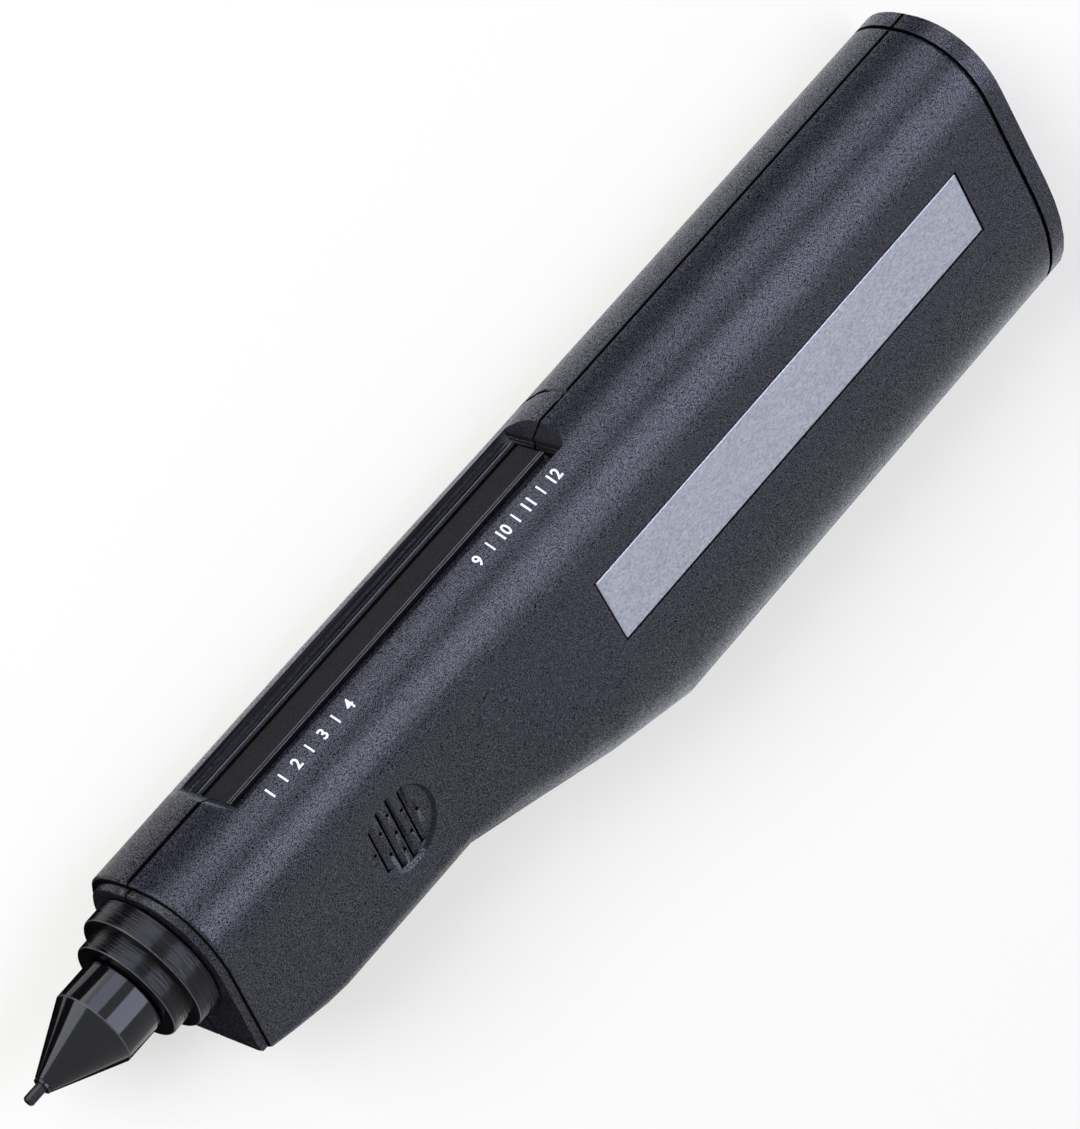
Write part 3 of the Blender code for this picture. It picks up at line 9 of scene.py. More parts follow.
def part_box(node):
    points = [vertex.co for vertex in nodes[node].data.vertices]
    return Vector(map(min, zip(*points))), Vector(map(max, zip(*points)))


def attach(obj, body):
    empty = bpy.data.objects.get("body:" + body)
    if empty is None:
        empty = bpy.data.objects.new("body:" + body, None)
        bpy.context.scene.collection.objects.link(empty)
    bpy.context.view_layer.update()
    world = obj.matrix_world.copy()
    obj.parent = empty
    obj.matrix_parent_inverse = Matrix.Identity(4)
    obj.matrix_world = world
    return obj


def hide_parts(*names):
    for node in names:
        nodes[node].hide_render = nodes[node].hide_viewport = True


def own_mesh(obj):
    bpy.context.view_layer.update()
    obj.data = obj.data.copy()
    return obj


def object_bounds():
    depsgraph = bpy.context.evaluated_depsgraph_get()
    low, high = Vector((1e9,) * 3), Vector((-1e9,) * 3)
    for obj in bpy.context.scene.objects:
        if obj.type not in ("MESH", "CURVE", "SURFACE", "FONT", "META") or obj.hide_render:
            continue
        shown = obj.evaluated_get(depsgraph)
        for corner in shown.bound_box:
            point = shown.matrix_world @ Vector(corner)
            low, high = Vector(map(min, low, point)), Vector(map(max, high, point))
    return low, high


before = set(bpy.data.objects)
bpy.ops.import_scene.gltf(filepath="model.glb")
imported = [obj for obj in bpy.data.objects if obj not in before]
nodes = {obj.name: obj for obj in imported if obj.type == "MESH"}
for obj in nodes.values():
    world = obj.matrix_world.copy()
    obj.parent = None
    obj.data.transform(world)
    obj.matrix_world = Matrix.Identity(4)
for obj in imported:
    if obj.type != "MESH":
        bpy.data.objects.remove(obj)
cad_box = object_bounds()

# Camera. It stands ahead of the probe on the window's side, looks down on the left flank
# through a long lens, and is rolled so that the probe points to the lower left.
camera_data = bpy.data.cameras.new("camera")
camera_data.lens = 192.076
camera_data.sensor_width = 36
camera_data.clip_start = 0.05
camera_data.clip_end = 20
camera = bpy.data.objects.new("camera", camera_data)
bpy.context.scene.collection.objects.link(camera)
camera_axes = Matrix((
    (-0.609959, 0.409465, 0.678446),
    (-0.692008, -0.692384, -0.204276),
    (0.386101, -0.594090, 0.705679),
)).transposed().to_4x4()
camera.matrix_world = Matrix.Translation((0.295304, -0.469066, 0.560097)) @ camera_axes
bpy.context.scene.camera = camera
bpy.context.scene.view_settings.view_transform = "Standard"


# Light. Two soft boxes stand either side of the camera, as seen along the body: a wide low one
# off the window and a squarer high one over the flank. The room beyond them is dim and pale.
def new_node(tree, kind, **settings):
    """Adds one node, and sets its own fields and those of its inputs by name."""
    node = tree.nodes.new(kind)
    for name, value in settings.items():
        socket = name.replace("_", " ").title()
        if socket in node.inputs:
            node.inputs[socket].default_value = value
        else:
            setattr(node, name, value)
    return node


def neat(metres):
    """A place taken from the CAD's meshes, which hold short numbers, to the micrometre."""
    return round(metres, 6)


seam_height = neat((cad_box[0][2] + cad_box[1][2]) / 2)


def soft_box(name, angle, reach, width, height, power, shift):
    """A rectangular lamp at the given angle round the body's axis, from the window's side
    (0 degrees) up over the left flank (90 degrees), turned to face the body, and moved along it."""
    out = Vector((0, -math.cos(math.radians(angle)), math.sin(math.radians(angle))))
    data = bpy.data.lights.new(name, "AREA")
    data.shape = "RECTANGLE"
    data.size = width
    data.size_y = height
    data.energy = power
    data.color = (0.72, 0.74, 1.0)
    lamp = bpy.data.objects.new(name, data)
    across = Vector((1, 0, 0))
    lamp.matrix_world = Matrix((across, out.cross(across), out)).transposed().to_4x4()
    lamp.location = out * reach + across * shift + Vector((0, 0, seam_height))
    bpy.context.scene.collection.objects.link(lamp)


soft_box("window_box", angle=17, reach=0.9, width=1.35, height=0.54, power=5.45, shift=-0.10)
soft_box("flank_box", angle=83, reach=0.9, width=0.85, height=0.80, power=7.8, shift=-0.42)

room = bpy.data.worlds.new("room")
bpy.context.scene.world = room
room.use_nodes = True
room.node_tree.nodes["Background"].inputs["Color"].default_value = (0.95, 0.97, 1.0, 1)
room.node_tree.nodes["Background"].inputs["Strength"].default_value = 0.62


# Table. A pale matt sheet just under the tester. The camera, gloss and glass see it lifted
# towards white, other light finds it plain, and from below it is clear, so that the tester's
# under side can be seen.
def grid_faces(rows, columns, wrap_rows=False, wrap_columns=False):
    """The quads of a grid of rows x columns points, in the order that the points are in."""
    row = np.arange(rows if wrap_rows else rows - 1)[:, None]
    column = np.arange(columns if wrap_columns else columns - 1)[None, :]
    next_row, next_column = (row + 1) % rows, (column + 1) % columns
    corners = (
        row * columns + column,
        next_row * columns + column,
        next_row * columns + next_column,
        row * columns + next_column,
    )
    return np.stack([np.broadcast_to(c, (row.size, column.size)).ravel() for c in corners], 1)


def surface(name, points, faces, smooth=True, closed=False):
    """An object made of an array of points and an array of faces, at the origin. The ends of a
    closed one are filled, and its faces turned outwards."""
    mesh = bpy.data.meshes.new(name)
    mesh.from_pydata(points.reshape(-1, 3).tolist(), [], faces.tolist())
    if closed:
        shape = bmesh.new()
        shape.from_mesh(mesh)
        bmesh.ops.holes_fill(shape, edges=[edge for edge in shape.edges if edge.is_boundary], sides=0)
        bmesh.ops.recalc_face_normals(shape, faces=shape.faces)
        shape.to_mesh(mesh)
        shape.free()
    mesh.polygons.foreach_set("use_smooth", np.full(len(mesh.polygons), smooth))
    mesh.update()
    made = bpy.data.objects.new(name, mesh)
    bpy.context.scene.collection.objects.link(made)
    return made


table_reach, table_drop = 3.0, 0.00005
across, along = np.meshgrid([-table_reach, table_reach], [-table_reach, table_reach])
sheet = np.stack([across, along, np.full((2, 2), -table_drop)], -1)
table = surface("table", sheet, grid_faces(2, 2)[:, ::-1], smooth=False)
table_look = bpy.data.materials.new("table_sheet")
table_look.use_nodes = True
tree = table_look.node_tree
tree.nodes.clear()
out = new_node(tree, "ShaderNodeOutputMaterial")
path = new_node(tree, "ShaderNodeLightPath")
camera_or_gloss = new_node(tree, "ShaderNodeMath", operation="MAXIMUM")
or_glass = new_node(tree, "ShaderNodeMath", operation="MAXIMUM")
plain = new_node(tree, "ShaderNodeBsdfDiffuse", color=(0.30, 0.30, 0.30, 1))
faint = new_node(tree, "ShaderNodeBsdfDiffuse", color=(0.15, 0.15, 0.147, 1))
lift = new_node(tree, "ShaderNodeEmission", color=(1.0, 0.989, 0.961, 1), strength=0.605)
lifted = new_node(tree, "ShaderNodeAddShader")
pick = new_node(tree, "ShaderNodeMixShader")
tree.links.new(path.outputs["Is Camera Ray"], camera_or_gloss.inputs[0])
tree.links.new(path.outputs["Is Glossy Ray"], camera_or_gloss.inputs[1])
tree.links.new(camera_or_gloss.outputs[0], or_glass.inputs[0])
tree.links.new(path.outputs["Is Transmission Ray"], or_glass.inputs[1])
tree.links.new(faint.outputs[0], lifted.inputs[0])
tree.links.new(lift.outputs[0], lifted.inputs[1])
tree.links.new(or_glass.outputs[0], pick.inputs[0])
tree.links.new(plain.outputs[0], pick.inputs[1])
tree.links.new(lifted.outputs[0], pick.inputs[2])
side = new_node(tree, "ShaderNodeNewGeometry")
clear = new_node(tree, "ShaderNodeBsdfTransparent")
one_way = new_node(tree, "ShaderNodeMixShader")
tree.links.new(side.outputs["Backfacing"], one_way.inputs[0])
tree.links.new(pick.outputs[0], one_way.inputs[1])
tree.links.new(clear.outputs[0], one_way.inputs[2])
tree.links.new(one_way.outputs[0], out.inputs["Surface"])
table.data.materials.append(table_look)


# Table light. A broad lamp ahead of the probe, on the window's side. It lights the table alone,
# so that the tester throws a soft shadow beyond its lower edge.
table_light = bpy.data.objects.new("table_light", bpy.data.lights.new("table_light", "AREA"))
table_light.data.size = 0.9
table_light.data.energy = 205
light_reach = 2.5
lamp_side = Vector((0.50, -0.75, 0.45)).normalized()
table_light.matrix_world = lamp_side.to_track_quat("Z", "Y").to_matrix().to_4x4()
table_light.location = lamp_side * light_reach
bpy.context.scene.collection.objects.link(table_light)
table_only = bpy.data.collections.new("table_only")
table_only.objects.link(table)
table_light.light_linking.receiver_collection = table_only


# Cards. They lie just over the table and only reflections see them. A dark one off the window
# gives the housing and nose their dark band beside the seam, and another keeps the front face
# dark. The bright ones light the far side of the round top, the nose and the grip's lower edge.
card_height, far_off = 0.0004, 2.5


def card(name, corners, brightness):
    """A card through (X, near Y, far Y) places in order along it, dark or glowing: its two rows
    of points are the near and the far places."""
    places = np.array(corners)
    height = np.full(len(places), card_height)
    rows = np.stack([np.stack([places[:, 0], places[:, 1 + row], height], -1) for row in (0, 1)])
    made = surface(name, rows, grid_faces(2, len(places)), smooth=False)
    look = bpy.data.materials.new(name + "_look")
    look.use_nodes = True
    body = look.node_tree.nodes["Principled BSDF"]
    body.inputs["Base Color"].default_value = (0.01, 0.01, 0.01, 1)
    body.inputs["Specular IOR Level"].default_value = 0
    body.inputs["Emission Color"].default_value = (0.90, 0.93, 1.0, 1)
    body.inputs["Emission Strength"].default_value = brightness
    made.data.materials.append(look)
    made.visible_camera = False
    made.visible_diffuse = False
    made.visible_shadow = False


card("window_flag", [
    (-0.60, -0.034, -0.115), (0.03, -0.033, -0.110), (0.05, -0.032, -0.090), (0.062, -0.031, -0.060),
    (0.075, -0.028, -0.050), (0.092, -0.020, -0.033), (0.12, -0.016, -0.030),
], 0.0)
card("front_flag", [(0.0672, 0.06, -0.022), (0.12, 0.09, -0.016), (0.24, 0.12, -0.012)], 0.0)
card("window_glow", [
    (-0.60, -0.115, -far_off), (0.03, -0.110, -far_off), (0.05, -0.090, -far_off),
    (0.062, -0.060, -far_off),
], 1.9)
card("nose_glow", [
    (0.0622, -0.060, -far_off), (0.075, -0.050, -far_off), (0.092, -0.033, -far_off),
    (0.12, -0.030, -far_off), (1.4, -0.030, -far_off),
], 2.8)
card("under_glow", [(-0.60, -0.0148, -0.0335), (0.052, -0.0148, -0.0315)], 1.35)
card("grip_glow", [(-0.60, 0.036, far_off), (0.0, 0.036, far_off)], 1.5)


# Housing and battery door. Two halves and a sliding tray, moulded in charcoal ABS with a fine
# spark-eroded grain all over, which scatters the soft boxes into broad bands. Screws from the
# right hold the halves together, and fine gaps are left between the mouldings, whose walls are
# painted black as shade.
def grain_group():
    """Two scales of noise on Object coordinates. A fine grain, drawn out along an axis for tool
    marks, gives height and breaks up roughness, gloss and colour; a broad mottle shades the
    colour too. Each shade is 1 plus the noise's swing about a half, times the given amount."""
    group = bpy.data.node_groups.new("moulded_grain", "ShaderNodeTree")
    face = group.interface
    for name, kind, value in (
        ("Colour", "NodeSocketColor", (0.04, 0.04, 0.045, 1)),
        ("Stretch", "NodeSocketVector", (1, 1, 1)),
        ("Grain Scale", "NodeSocketFloat", 4000),
        ("Speckle", "NodeSocketFloat", 0.2),
        ("Mottle", "NodeSocketFloat", 0.05),
        ("Roughness", "NodeSocketFloat", 0.45),
        ("Roughness Spread", "NodeSocketFloat", 0.08),
        ("Gloss", "NodeSocketFloat", 0.0),
        ("Gloss Spread", "NodeSocketFloat", 0.0),
    ):
        face.new_socket(name=name, in_out="INPUT", socket_type=kind).default_value = value
    face.new_socket(name="Colour", in_out="OUTPUT", socket_type="NodeSocketColor")
    face.new_socket(name="Roughness", in_out="OUTPUT", socket_type="NodeSocketFloat")
    face.new_socket(name="Gloss", in_out="OUTPUT", socket_type="NodeSocketFloat")
    face.new_socket(name="Height", in_out="OUTPUT", socket_type="NodeSocketFloat")
    given = new_node(group, "NodeGroupInput")
    made = new_node(group, "NodeGroupOutput")
    where = new_node(group, "ShaderNodeTexCoord")
    fine = new_node(group, "ShaderNodeTexNoise", detail=2.0, roughness=0.6)
    broad = new_node(group, "ShaderNodeTexNoise", scale=90.0, detail=3.0, roughness=0.55)
    pulled = new_node(group, "ShaderNodeVectorMath", operation="MULTIPLY")
    group.links.new(where.outputs["Object"], pulled.inputs[0])
    group.links.new(given.outputs["Stretch"], pulled.inputs[1])
    group.links.new(pulled.outputs[0], fine.inputs["Vector"])
    group.links.new(where.outputs["Object"], broad.inputs["Vector"])
    group.links.new(given.outputs["Grain Scale"], fine.inputs["Scale"])
    swings, shades = [], []
    for noise, amount in ((fine, "Speckle"), (broad, "Mottle")):
        swing = new_node(group, "ShaderNodeMath", operation="SUBTRACT")
        swing.inputs[1].default_value = 0.5
        scaled = new_node(group, "ShaderNodeMath", operation="MULTIPLY_ADD")
        group.links.new(noise.outputs["Fac"], swing.inputs[0])
        group.links.new(swing.outputs[0], scaled.inputs[0])
        group.links.new(given.outputs[amount], scaled.inputs[1])
        scaled.inputs[2].default_value = 1.0
        swings.append(swing)
        shades.append(scaled)
    shade = new_node(group, "ShaderNodeMath", operation="MULTIPLY")
    group.links.new(shades[0].outputs[0], shade.inputs[0])
    group.links.new(shades[1].outputs[0], shade.inputs[1])
    tinted = new_node(group, "ShaderNodeVectorMath", operation="SCALE")
    group.links.new(given.outputs["Colour"], tinted.inputs[0])
    group.links.new(shade.outputs[0], tinted.inputs["Scale"])
    group.links.new(tinted.outputs[0], made.inputs["Colour"])
    for effect in ("Roughness", "Gloss"):
        spread = new_node(group, "ShaderNodeMath", operation="MULTIPLY_ADD", use_clamp=True)
        group.links.new(swings[0].outputs[0], spread.inputs[0])
        group.links.new(given.outputs[effect + " Spread"], spread.inputs[1])
        group.links.new(given.outputs[effect], spread.inputs[2])
        group.links.new(spread.outputs[0], made.inputs[effect])
    group.links.new(fine.outputs["Fac"], made.inputs["Height"])
    return group


moulded_grain = grain_group()


def grained(
    name, colour, scale, speckle, mottle, roughness, spread, depth,
    stretch=(1, 1, 1), edge=0.0, gloss=0.0, sparkle=0.0, **shader,
):
    """A moulded, turned or brushed finish: the grain group feeds colour, roughness and a bump of
    the given depth in metres. An edge above zero rounds the sharp edges' shading by that radius,
    and gloss is a clear top skin's weight, broken up by sparkle."""
    look = bpy.data.materials.new(name)
    look.use_nodes = True
    tree = look.node_tree
    body = tree.nodes["Principled BSDF"]
    for socket, value in shader.items():
        body.inputs[socket.replace("_", " ")].default_value = value
    grain = new_node(tree, "ShaderNodeGroup")
    grain.node_tree = moulded_grain
    for socket, value in (
        ("Colour", (*colour, 1)), ("Stretch", stretch), ("Grain Scale", scale), ("Speckle", speckle),
        ("Mottle", mottle), ("Roughness", roughness), ("Roughness Spread", spread),
        ("Gloss", gloss), ("Gloss Spread", sparkle),
    ):
        grain.inputs[socket].default_value = value
    bump = new_node(tree, "ShaderNodeBump", distance=depth)
    tree.links.new(grain.outputs["Height"], bump.inputs["Height"])
    if edge:
        rounding = new_node(tree, "ShaderNodeBevel", samples=6, radius=edge)
        tree.links.new(rounding.outputs["Normal"], bump.inputs["Normal"])
    tree.links.new(grain.outputs["Colour"], body.inputs["Base Color"])
    tree.links.new(grain.outputs["Roughness"], body.inputs["Roughness"])
    tree.links.new(bump.outputs["Normal"], body.inputs["Normal"])
    if gloss:
        tree.links.new(grain.outputs["Gloss"], body.inputs["Coat Weight"])
        tree.links.new(bump.outputs["Normal"], body.inputs["Coat Normal"])
    return look


probe_end = neat(cad_box[1][0])
rear_face = neat(probe_end - cad_box[0][0])
half_width = neat((cad_box[1][2] - cad_box[0][2]) / 2)
grip_depth = 0.047
arc_centre = neat(cad_box[1][1] - grip_depth + half_width)
front_face, waist, throat, grip = 0.027, 0.056, 0.066, 0.1065
arc_power = (0.80, 0.87)


def body_outline(stations):
    """The housing's outer section at each station (the distance from the probe's end), as points
    (across from the seam, up from the arc's centre) and their normals: a top arc R sin(a)^p,
    R cos(a)^p, whose last third turns over to the leaning flank, then the flank, a Bezier corner
    and the flat underside."""
    chin = (front_face, 0.03106, 0.03686, 0.04063, 0.04614, waist)
    chin_depth = (0.0278, 0.029088, 0.030698, 0.031388, 0.031756, 0.0324)
    depths = (*chin_depth, chin_depth[-1], grip_depth)
    depth = np.interp(stations, (*chin, throat, grip), depths)
    half = half_width
    foot = np.interp(stations, (front_face, waist, throat, 0.09111), (0.0094, 0.0092, 0.0092, half))
    runs = (front_face, waist, throat, grip)
    side_leg = np.interp(stations, runs, (0.0014, 0.0045, 0.0045, 0.019))
    under_leg = np.interp(stations, runs, (0.0014, 0.0045, 0.0045, 0.0112))
    power = np.interp(stations, (throat, grip), arc_power)[:, None]
    turn = np.linspace(0, math.pi / 2, 161)[None, :]
    sine, cosine = np.sin(turn), np.abs(np.cos(turn))
    arc = half * np.stack([sine ** power, cosine ** power], -1)
    lean = np.arctan2(half - foot, depth - half)[:, None]
    facing = np.arctan2(sine ** (2 - power), cosine ** (2 - power))
    lean_start = 1.0
    ease = np.clip((facing - lean_start) / (math.pi / 2 - lean_start), 0, 1)
    facing = facing + lean * ease * ease * (3 - 2 * ease)
    corner = np.stack([foot, half - depth], -1)[:, None, :]
    flank_top = np.broadcast_to(np.array([half, 0.0]), corner.shape)
    flank_length = np.hypot(half - foot, depth - half)
    start = corner + (flank_top - corner) * (side_leg / flank_length)[:, None, None]
    end = corner - np.stack([under_leg, 0 * under_leg], -1)[:, None, :]
    t = np.linspace(0, 1, 81)[None, :, None]
    flank = flank_top + (start - flank_top) * t
    pull = 4 / 3 * (math.sqrt(2) - 1)
    near, far = start + (corner - start) * pull, end + (corner - end) * pull
    rest = 1 - t
    bend = start * rest ** 3 + 3 * near * rest ** 2 * t + 3 * far * rest * t ** 2 + end * t ** 3
    along = (near - start) * rest ** 2 + 2 * (far - near) * rest * t + (end - far) * t ** 2
    bend_facing = math.pi / 2 + np.arctan2(-along[..., 0], -along[..., 1])
    keel = np.stack([0 * foot, half - depth], -1)[:, None, :]
    under = end + (keel - end) * t
    outline = np.concatenate([arc, flank, bend, under], 1)
    flank_facing = np.repeat(math.pi / 2 + lean, t.size, 1)
    under_facing = np.full_like(flank_facing, math.pi)
    angles = np.concatenate([facing, flank_facing, bend_facing, under_facing], 1)
    return outline, np.stack([np.sin(angles), np.cos(angles)], -1)


def skin_normals(points):
    """For points in world axes: the smooth outer skin's normal there, and the distance outside
    it. The slope along the body is the change of that distance over 2.5 mm either way."""
    station = probe_end - points[:, 0]
    side = np.sign(seam_height - points[:, 2])
    flat = np.stack([np.abs(seam_height - points[:, 2]), arc_centre - points[:, 1]], -1)

    def outside(at):
        outline, normals = body_outline(at)
        nearest = ((outline - flat[:, None, :]) ** 2).sum(-1).argmin(1)
        rows = np.arange(len(at))
        found = normals[rows, nearest]
        return ((flat - outline[rows, nearest]) * found).sum(-1), found

    distance, facing = outside(station)
    low, high = (np.clip(station + step, front_face, rear_face) for step in (-0.0025, 0.0025))
    slope = (outside(high)[0] - outside(low)[0]) / (high - low)
    normal = np.stack([-slope, -facing[:, 1], -side * facing[:, 0]], -1)
    return normal / np.linalg.norm(normal, axis=1)[:, None], distance


# How far off the smooth skin a facet may lie and still be shaded as part of it.
skin_slack = 0.00004


def smooth_copy(name, stations):
    """A copy of a CAD moulding that stands for it: its triangles joined, cut across at the given
    stations, and shaded with the normals of the smooth skin wherever they lie on it. Its end
    faces stay flat."""
    shell = bmesh.new()
    shell.from_mesh(nodes[name].data)
    bmesh.ops.remove_doubles(shell, verts=shell.verts, dist=0.000001)
    for station in stations:
        everything = shell.verts[:] + shell.edges[:] + shell.faces[:]
        place = (probe_end - station, 0, 0)
        bmesh.ops.bisect_plane(shell, geom=everything, dist=0.000002, plane_co=place, plane_no=(1, 0, 0))
    bmesh.ops.triangulate(shell, faces=[face for face in shell.faces if len(face.verts) > 3])
    mesh = bpy.data.meshes.new(name + "_skin")
    shell.to_mesh(mesh)
    shell.free()
    mesh.polygons.foreach_set("use_smooth", np.full(len(mesh.polygons), True))
    mesh.set_sharp_from_angle(angle=math.radians(28))
    corners = len(mesh.loops)
    spots, owner, middle, facing, normals = (
        np.empty(len(mesh.vertices) * 3), np.empty(corners, int), np.empty(corners),
        np.empty(len(mesh.polygons) * 3), np.empty(corners * 3),
    )
    mesh.vertices.foreach_get("co", spots)
    mesh.loops.foreach_get("vertex_index", owner)
    mesh.polygons.foreach_get("center", middle)
    mesh.polygons.foreach_get("normal", facing)
    mesh.corner_normals.foreach_get("vector", normals)
    spots, normals = spots.reshape(-1, 3)[owner], normals.reshape(-1, 3)
    middle, facing = (np.repeat(values.reshape(-1, 3), 3, 0) for values in (middle, facing))
    smooth, distance = skin_normals(spots + (middle - spots) * 0.001)
    near_skin = np.abs(distance) < skin_slack
    on_skin = near_skin & ((smooth * facing).sum(1) > math.cos(math.radians(16)))
    normals[on_skin] = smooth[on_skin]
    end_faces = np.abs(facing[:, 0]) > 0.99
    normals[end_faces] = facing[end_faces]
    mesh.normals_split_custom_set(normals)
    made = bpy.data.objects.new(name + "_skin", mesh)
    bpy.context.scene.collection.objects.link(made)
    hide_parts(name)
    return made


def paint_gaps(skin, body):
    """Gives a moulding's faces their materials: black as painted shade on the front face, on the
    walls of the seam, the door's gap and the rear groove, in the louvre slots and on the floor of
    the window's far groove; ribbed and darker, partly painted shade, on the window's far wall;
    darker and duller as painted shade on the window's rear end and the grille dish's rear wall;
    and its own elsewhere. A fine black line of painted shade follows the rims of the seam and the
    door's gap, where the real edges turn in."""
    mesh = skin.data
    faces = len(mesh.polygons)
    middle, facing = np.empty(faces * 3), np.empty(faces * 3)
    mesh.polygons.foreach_get("center", middle)
    mesh.polygons.foreach_get("normal", facing)
    middle, facing = middle.reshape(-1, 3), facing.reshape(-1, 3)
    normal, distance = skin_normals(middle)
    upright = (normal * facing).sum(1)
    station, off_seam = probe_end - middle[:, 0], middle[:, 2] - seam_height
    up = arc_centre - middle[:, 1]

    window_start, window_end, window_bed, window_half = 0.0408, 0.1106, 0.0075, 0.0062
    window = (station > window_start) & (station < window_end) & (up > window_bed)
    window &= np.abs(off_seam) < window_half
    groove_floor = np.abs(up - 0.0093) < 0.0001
    floor = window & groove_floor & ((off_seam < 0) | (station > 0.107))
    far_wall = window & (np.abs(facing[:, 2]) > 0.4) & (off_seam < -0.0025)
    brow = window & (station > 0.1068) & (facing[:, 0] > 0.3)

    grille, grille_drop, dish_radius, slots_radius = 0.0572, 0.0064, 0.00605, 0.0061
    from_grille = np.hypot(station - grille, up + grille_drop)
    on_flank = off_seam > 0.004
    deep = (distance < -0.00105) | ((distance < -0.00065) & (np.abs(upright) < 0.3))
    slots = (from_grille < slots_radius) & on_flank & deep
    dish_wall = (np.abs(from_grille - dish_radius) < 0.0004) & on_flank
    dish_rear = dish_wall & (facing[:, 0] > 0.25) & (upright < 0.8)

    door_front, groove_rear, plate_rear = 0.0985, 0.1880, 0.180
    seam = (np.abs(off_seam) < 0.0003) & (np.abs(facing[:, 2]) > 0.9)
    just_inside = (distance < -0.00006) & (distance > -0.0030) & (np.abs(upright) < 0.8)
    plate_seat = (off_seam > 0.0095) & (station < plate_rear)
    gap = just_inside & (station > door_front) & (station < groove_rear) & ~window & ~plate_seat
    front = (np.abs(station - front_face) < 0.0003) & (facing[:, 0] > 0.8)
    # Painted shade: the front face, the gap walls, the slots and the window's groove floor are painted
    # black where shade falls.
    black = seam | gap | slots | floor | front
    # Painted shade: the window's rear end and the grille dish's rear wall get a darker, duller plastic
    # where they lie in shade.
    painted_shade_faces = brow | dish_rear
    slot_number = np.where(black, 1, np.where(far_wall, 2, np.where(painted_shade_faces, 3, 0)))
    mesh.polygons.foreach_set("material_index", slot_number)

    # Painted shade: black strips along the rims of the seam and the door's gap stand for the shade where
    # the real edges turn in.
    owner = np.repeat(np.arange(faces), 3)
    loop_edge, edge_ends = np.empty(len(mesh.loops), int), np.empty(len(mesh.edges) * 2, int)
    spots = np.empty(len(mesh.vertices) * 3)
    mesh.loops.foreach_get("edge_index", loop_edge)
    mesh.edges.foreach_get("vertices", edge_ends)
    mesh.vertices.foreach_get("co", spots)
    beside = np.zeros(len(mesh.edges), bool)
    beside[loop_edge[(seam | (gap & (station < 0.182)))[owner]]] = True
    outer = ~black & (np.abs(distance) < skin_slack) & (upright > 0.96)
    rim = beside[loop_edge] & outer[owner]
    ends = spots.reshape(-1, 3)[edge_ends.reshape(-1, 2)[loop_edge[rim]]]
    outward = facing[owner[rim]]
    line_width, proud = 0.00023, 0.000004
    inward = np.cross(outward, ends[:, 1] - ends[:, 0])
    inward *= np.sign(((middle[owner[rim]] - ends[:, 0]) * inward).sum(1))[:, None]
    inward *= line_width / np.linalg.norm(inward, axis=1)[:, None]
    strips = np.stack([ends[:, 0], ends[:, 1], ends[:, 1] + inward, ends[:, 0] + inward], 1)
    strips = np.clip(strips + outward[:, None] * proud, np.array(cad_box[0]), np.array(cad_box[1]))
    winding = np.cross(strips[:, 1] - strips[:, 0], strips[:, 3] - strips[:, 0])
    wrong = (winding * outward).sum(1) < 0
    strips[wrong] = strips[wrong][:, ::-1]
    quads = np.arange(len(strips) * 4).reshape(-1, 4)
    rim_shade_lines = surface(skin.name + "_rims", strips, quads, smooth=False)
    rim_shade_lines.data.materials.append(painted_shade_black)
    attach(rim_shade_lines, body)


charcoal_abs = grained(
    "charcoal_abs", (0.023, 0.023, 0.0263), scale=8300, speckle=13.0, mottle=0.4,
    roughness=0.9, spread=0.0, depth=0.000022, edge=0.00012, gloss=0.85, sparkle=11.0,
    Specular_IOR_Level=0.0, Coat_Roughness=0.26, Coat_IOR=1.55, Coat_Tint=(0.90, 0.91, 1.0, 1),
)
# Painted shade: a darker, duller plastic for faces that lie in shade, the window's rear end and the
# grille dish's rear wall.
painted_shade_abs = grained(
    "painted_shade_abs", (0.016, 0.016, 0.018), scale=7600, speckle=8.0, mottle=0.3,
    roughness=0.9, spread=0.0, depth=0.00002, Specular_IOR_Level=0.2,
)
# Painted shade: near-black for faces in gaps, slots and the window's groove, and on the front face,
# where shade falls.
painted_shade_black = grained(
    "painted_shade_black", (0.001, 0.001, 0.001), scale=4200, speckle=1.0, mottle=0.2,
    roughness=0.8, spread=0.1, depth=0.00001, Specular_IOR_Level=0.05,
)
# Ribbed with a bump for the wall's steps, and darker than the housing as painted shade in the recess.
ribbed_shade_wall = grained(
    "ribbed_shade_wall", (0.012, 0.012, 0.013), scale=3600, speckle=6.0, mottle=0.1,
    roughness=0.40, spread=0.8, depth=0.0001, stretch=(0.01, 1, 1),
)
cuts = np.arange(0.0285, 0.1155, 0.0015)
for name, body in (("left_shell", "housing"), ("right_shell", "housing"), ("battery_door", "door")):
    skin = smooth_copy(name, cuts)
    for look in (charcoal_abs, painted_shade_black, ribbed_shade_wall, painted_shade_abs):
        skin.data.materials.append(look)
    paint_gaps(skin, body)
    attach(skin, body)


# Legends. White numerals with ticks between them, beside the four lamps at each end of the row.
# They are printed in ink on the left half and wrap round its top arc.
legend_base, ink_proud = 0.0079, 0.00008
lamp_boxes = [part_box(f"led_{n}") for n in range(1, 13)]
lamp_stations = [neat(probe_end - (low[0] + high[0]) / 2) for low, high in lamp_boxes]
lamp_pitch = lamp_stations[1] - lamp_stations[0]


def on_arc(along, up):
    """Maps (station, height) arrays on to the left half's top arc, a little proud of it. The
    height runs round the arc from the legends' base line towards the seam."""
    arc_radius = 0.0106
    power = np.interp(along, (throat, grip), arc_power)
    turn = np.arcsin((legend_base / half_width) ** (1 / power)) - up / arc_radius
    sine, cosine = np.sin(turn), np.cos(turn)
    out = np.stack([sine ** (2 - power), cosine ** (2 - power)], -1)
    out = out / np.linalg.norm(out, axis=-1)[..., None] * ink_proud
    side = half_width * sine ** power + out[..., 0]
    height = half_width * cosine ** power + out[..., 1]
    return np.stack([probe_end - along, arc_centre - height, seam_height + side], -1)


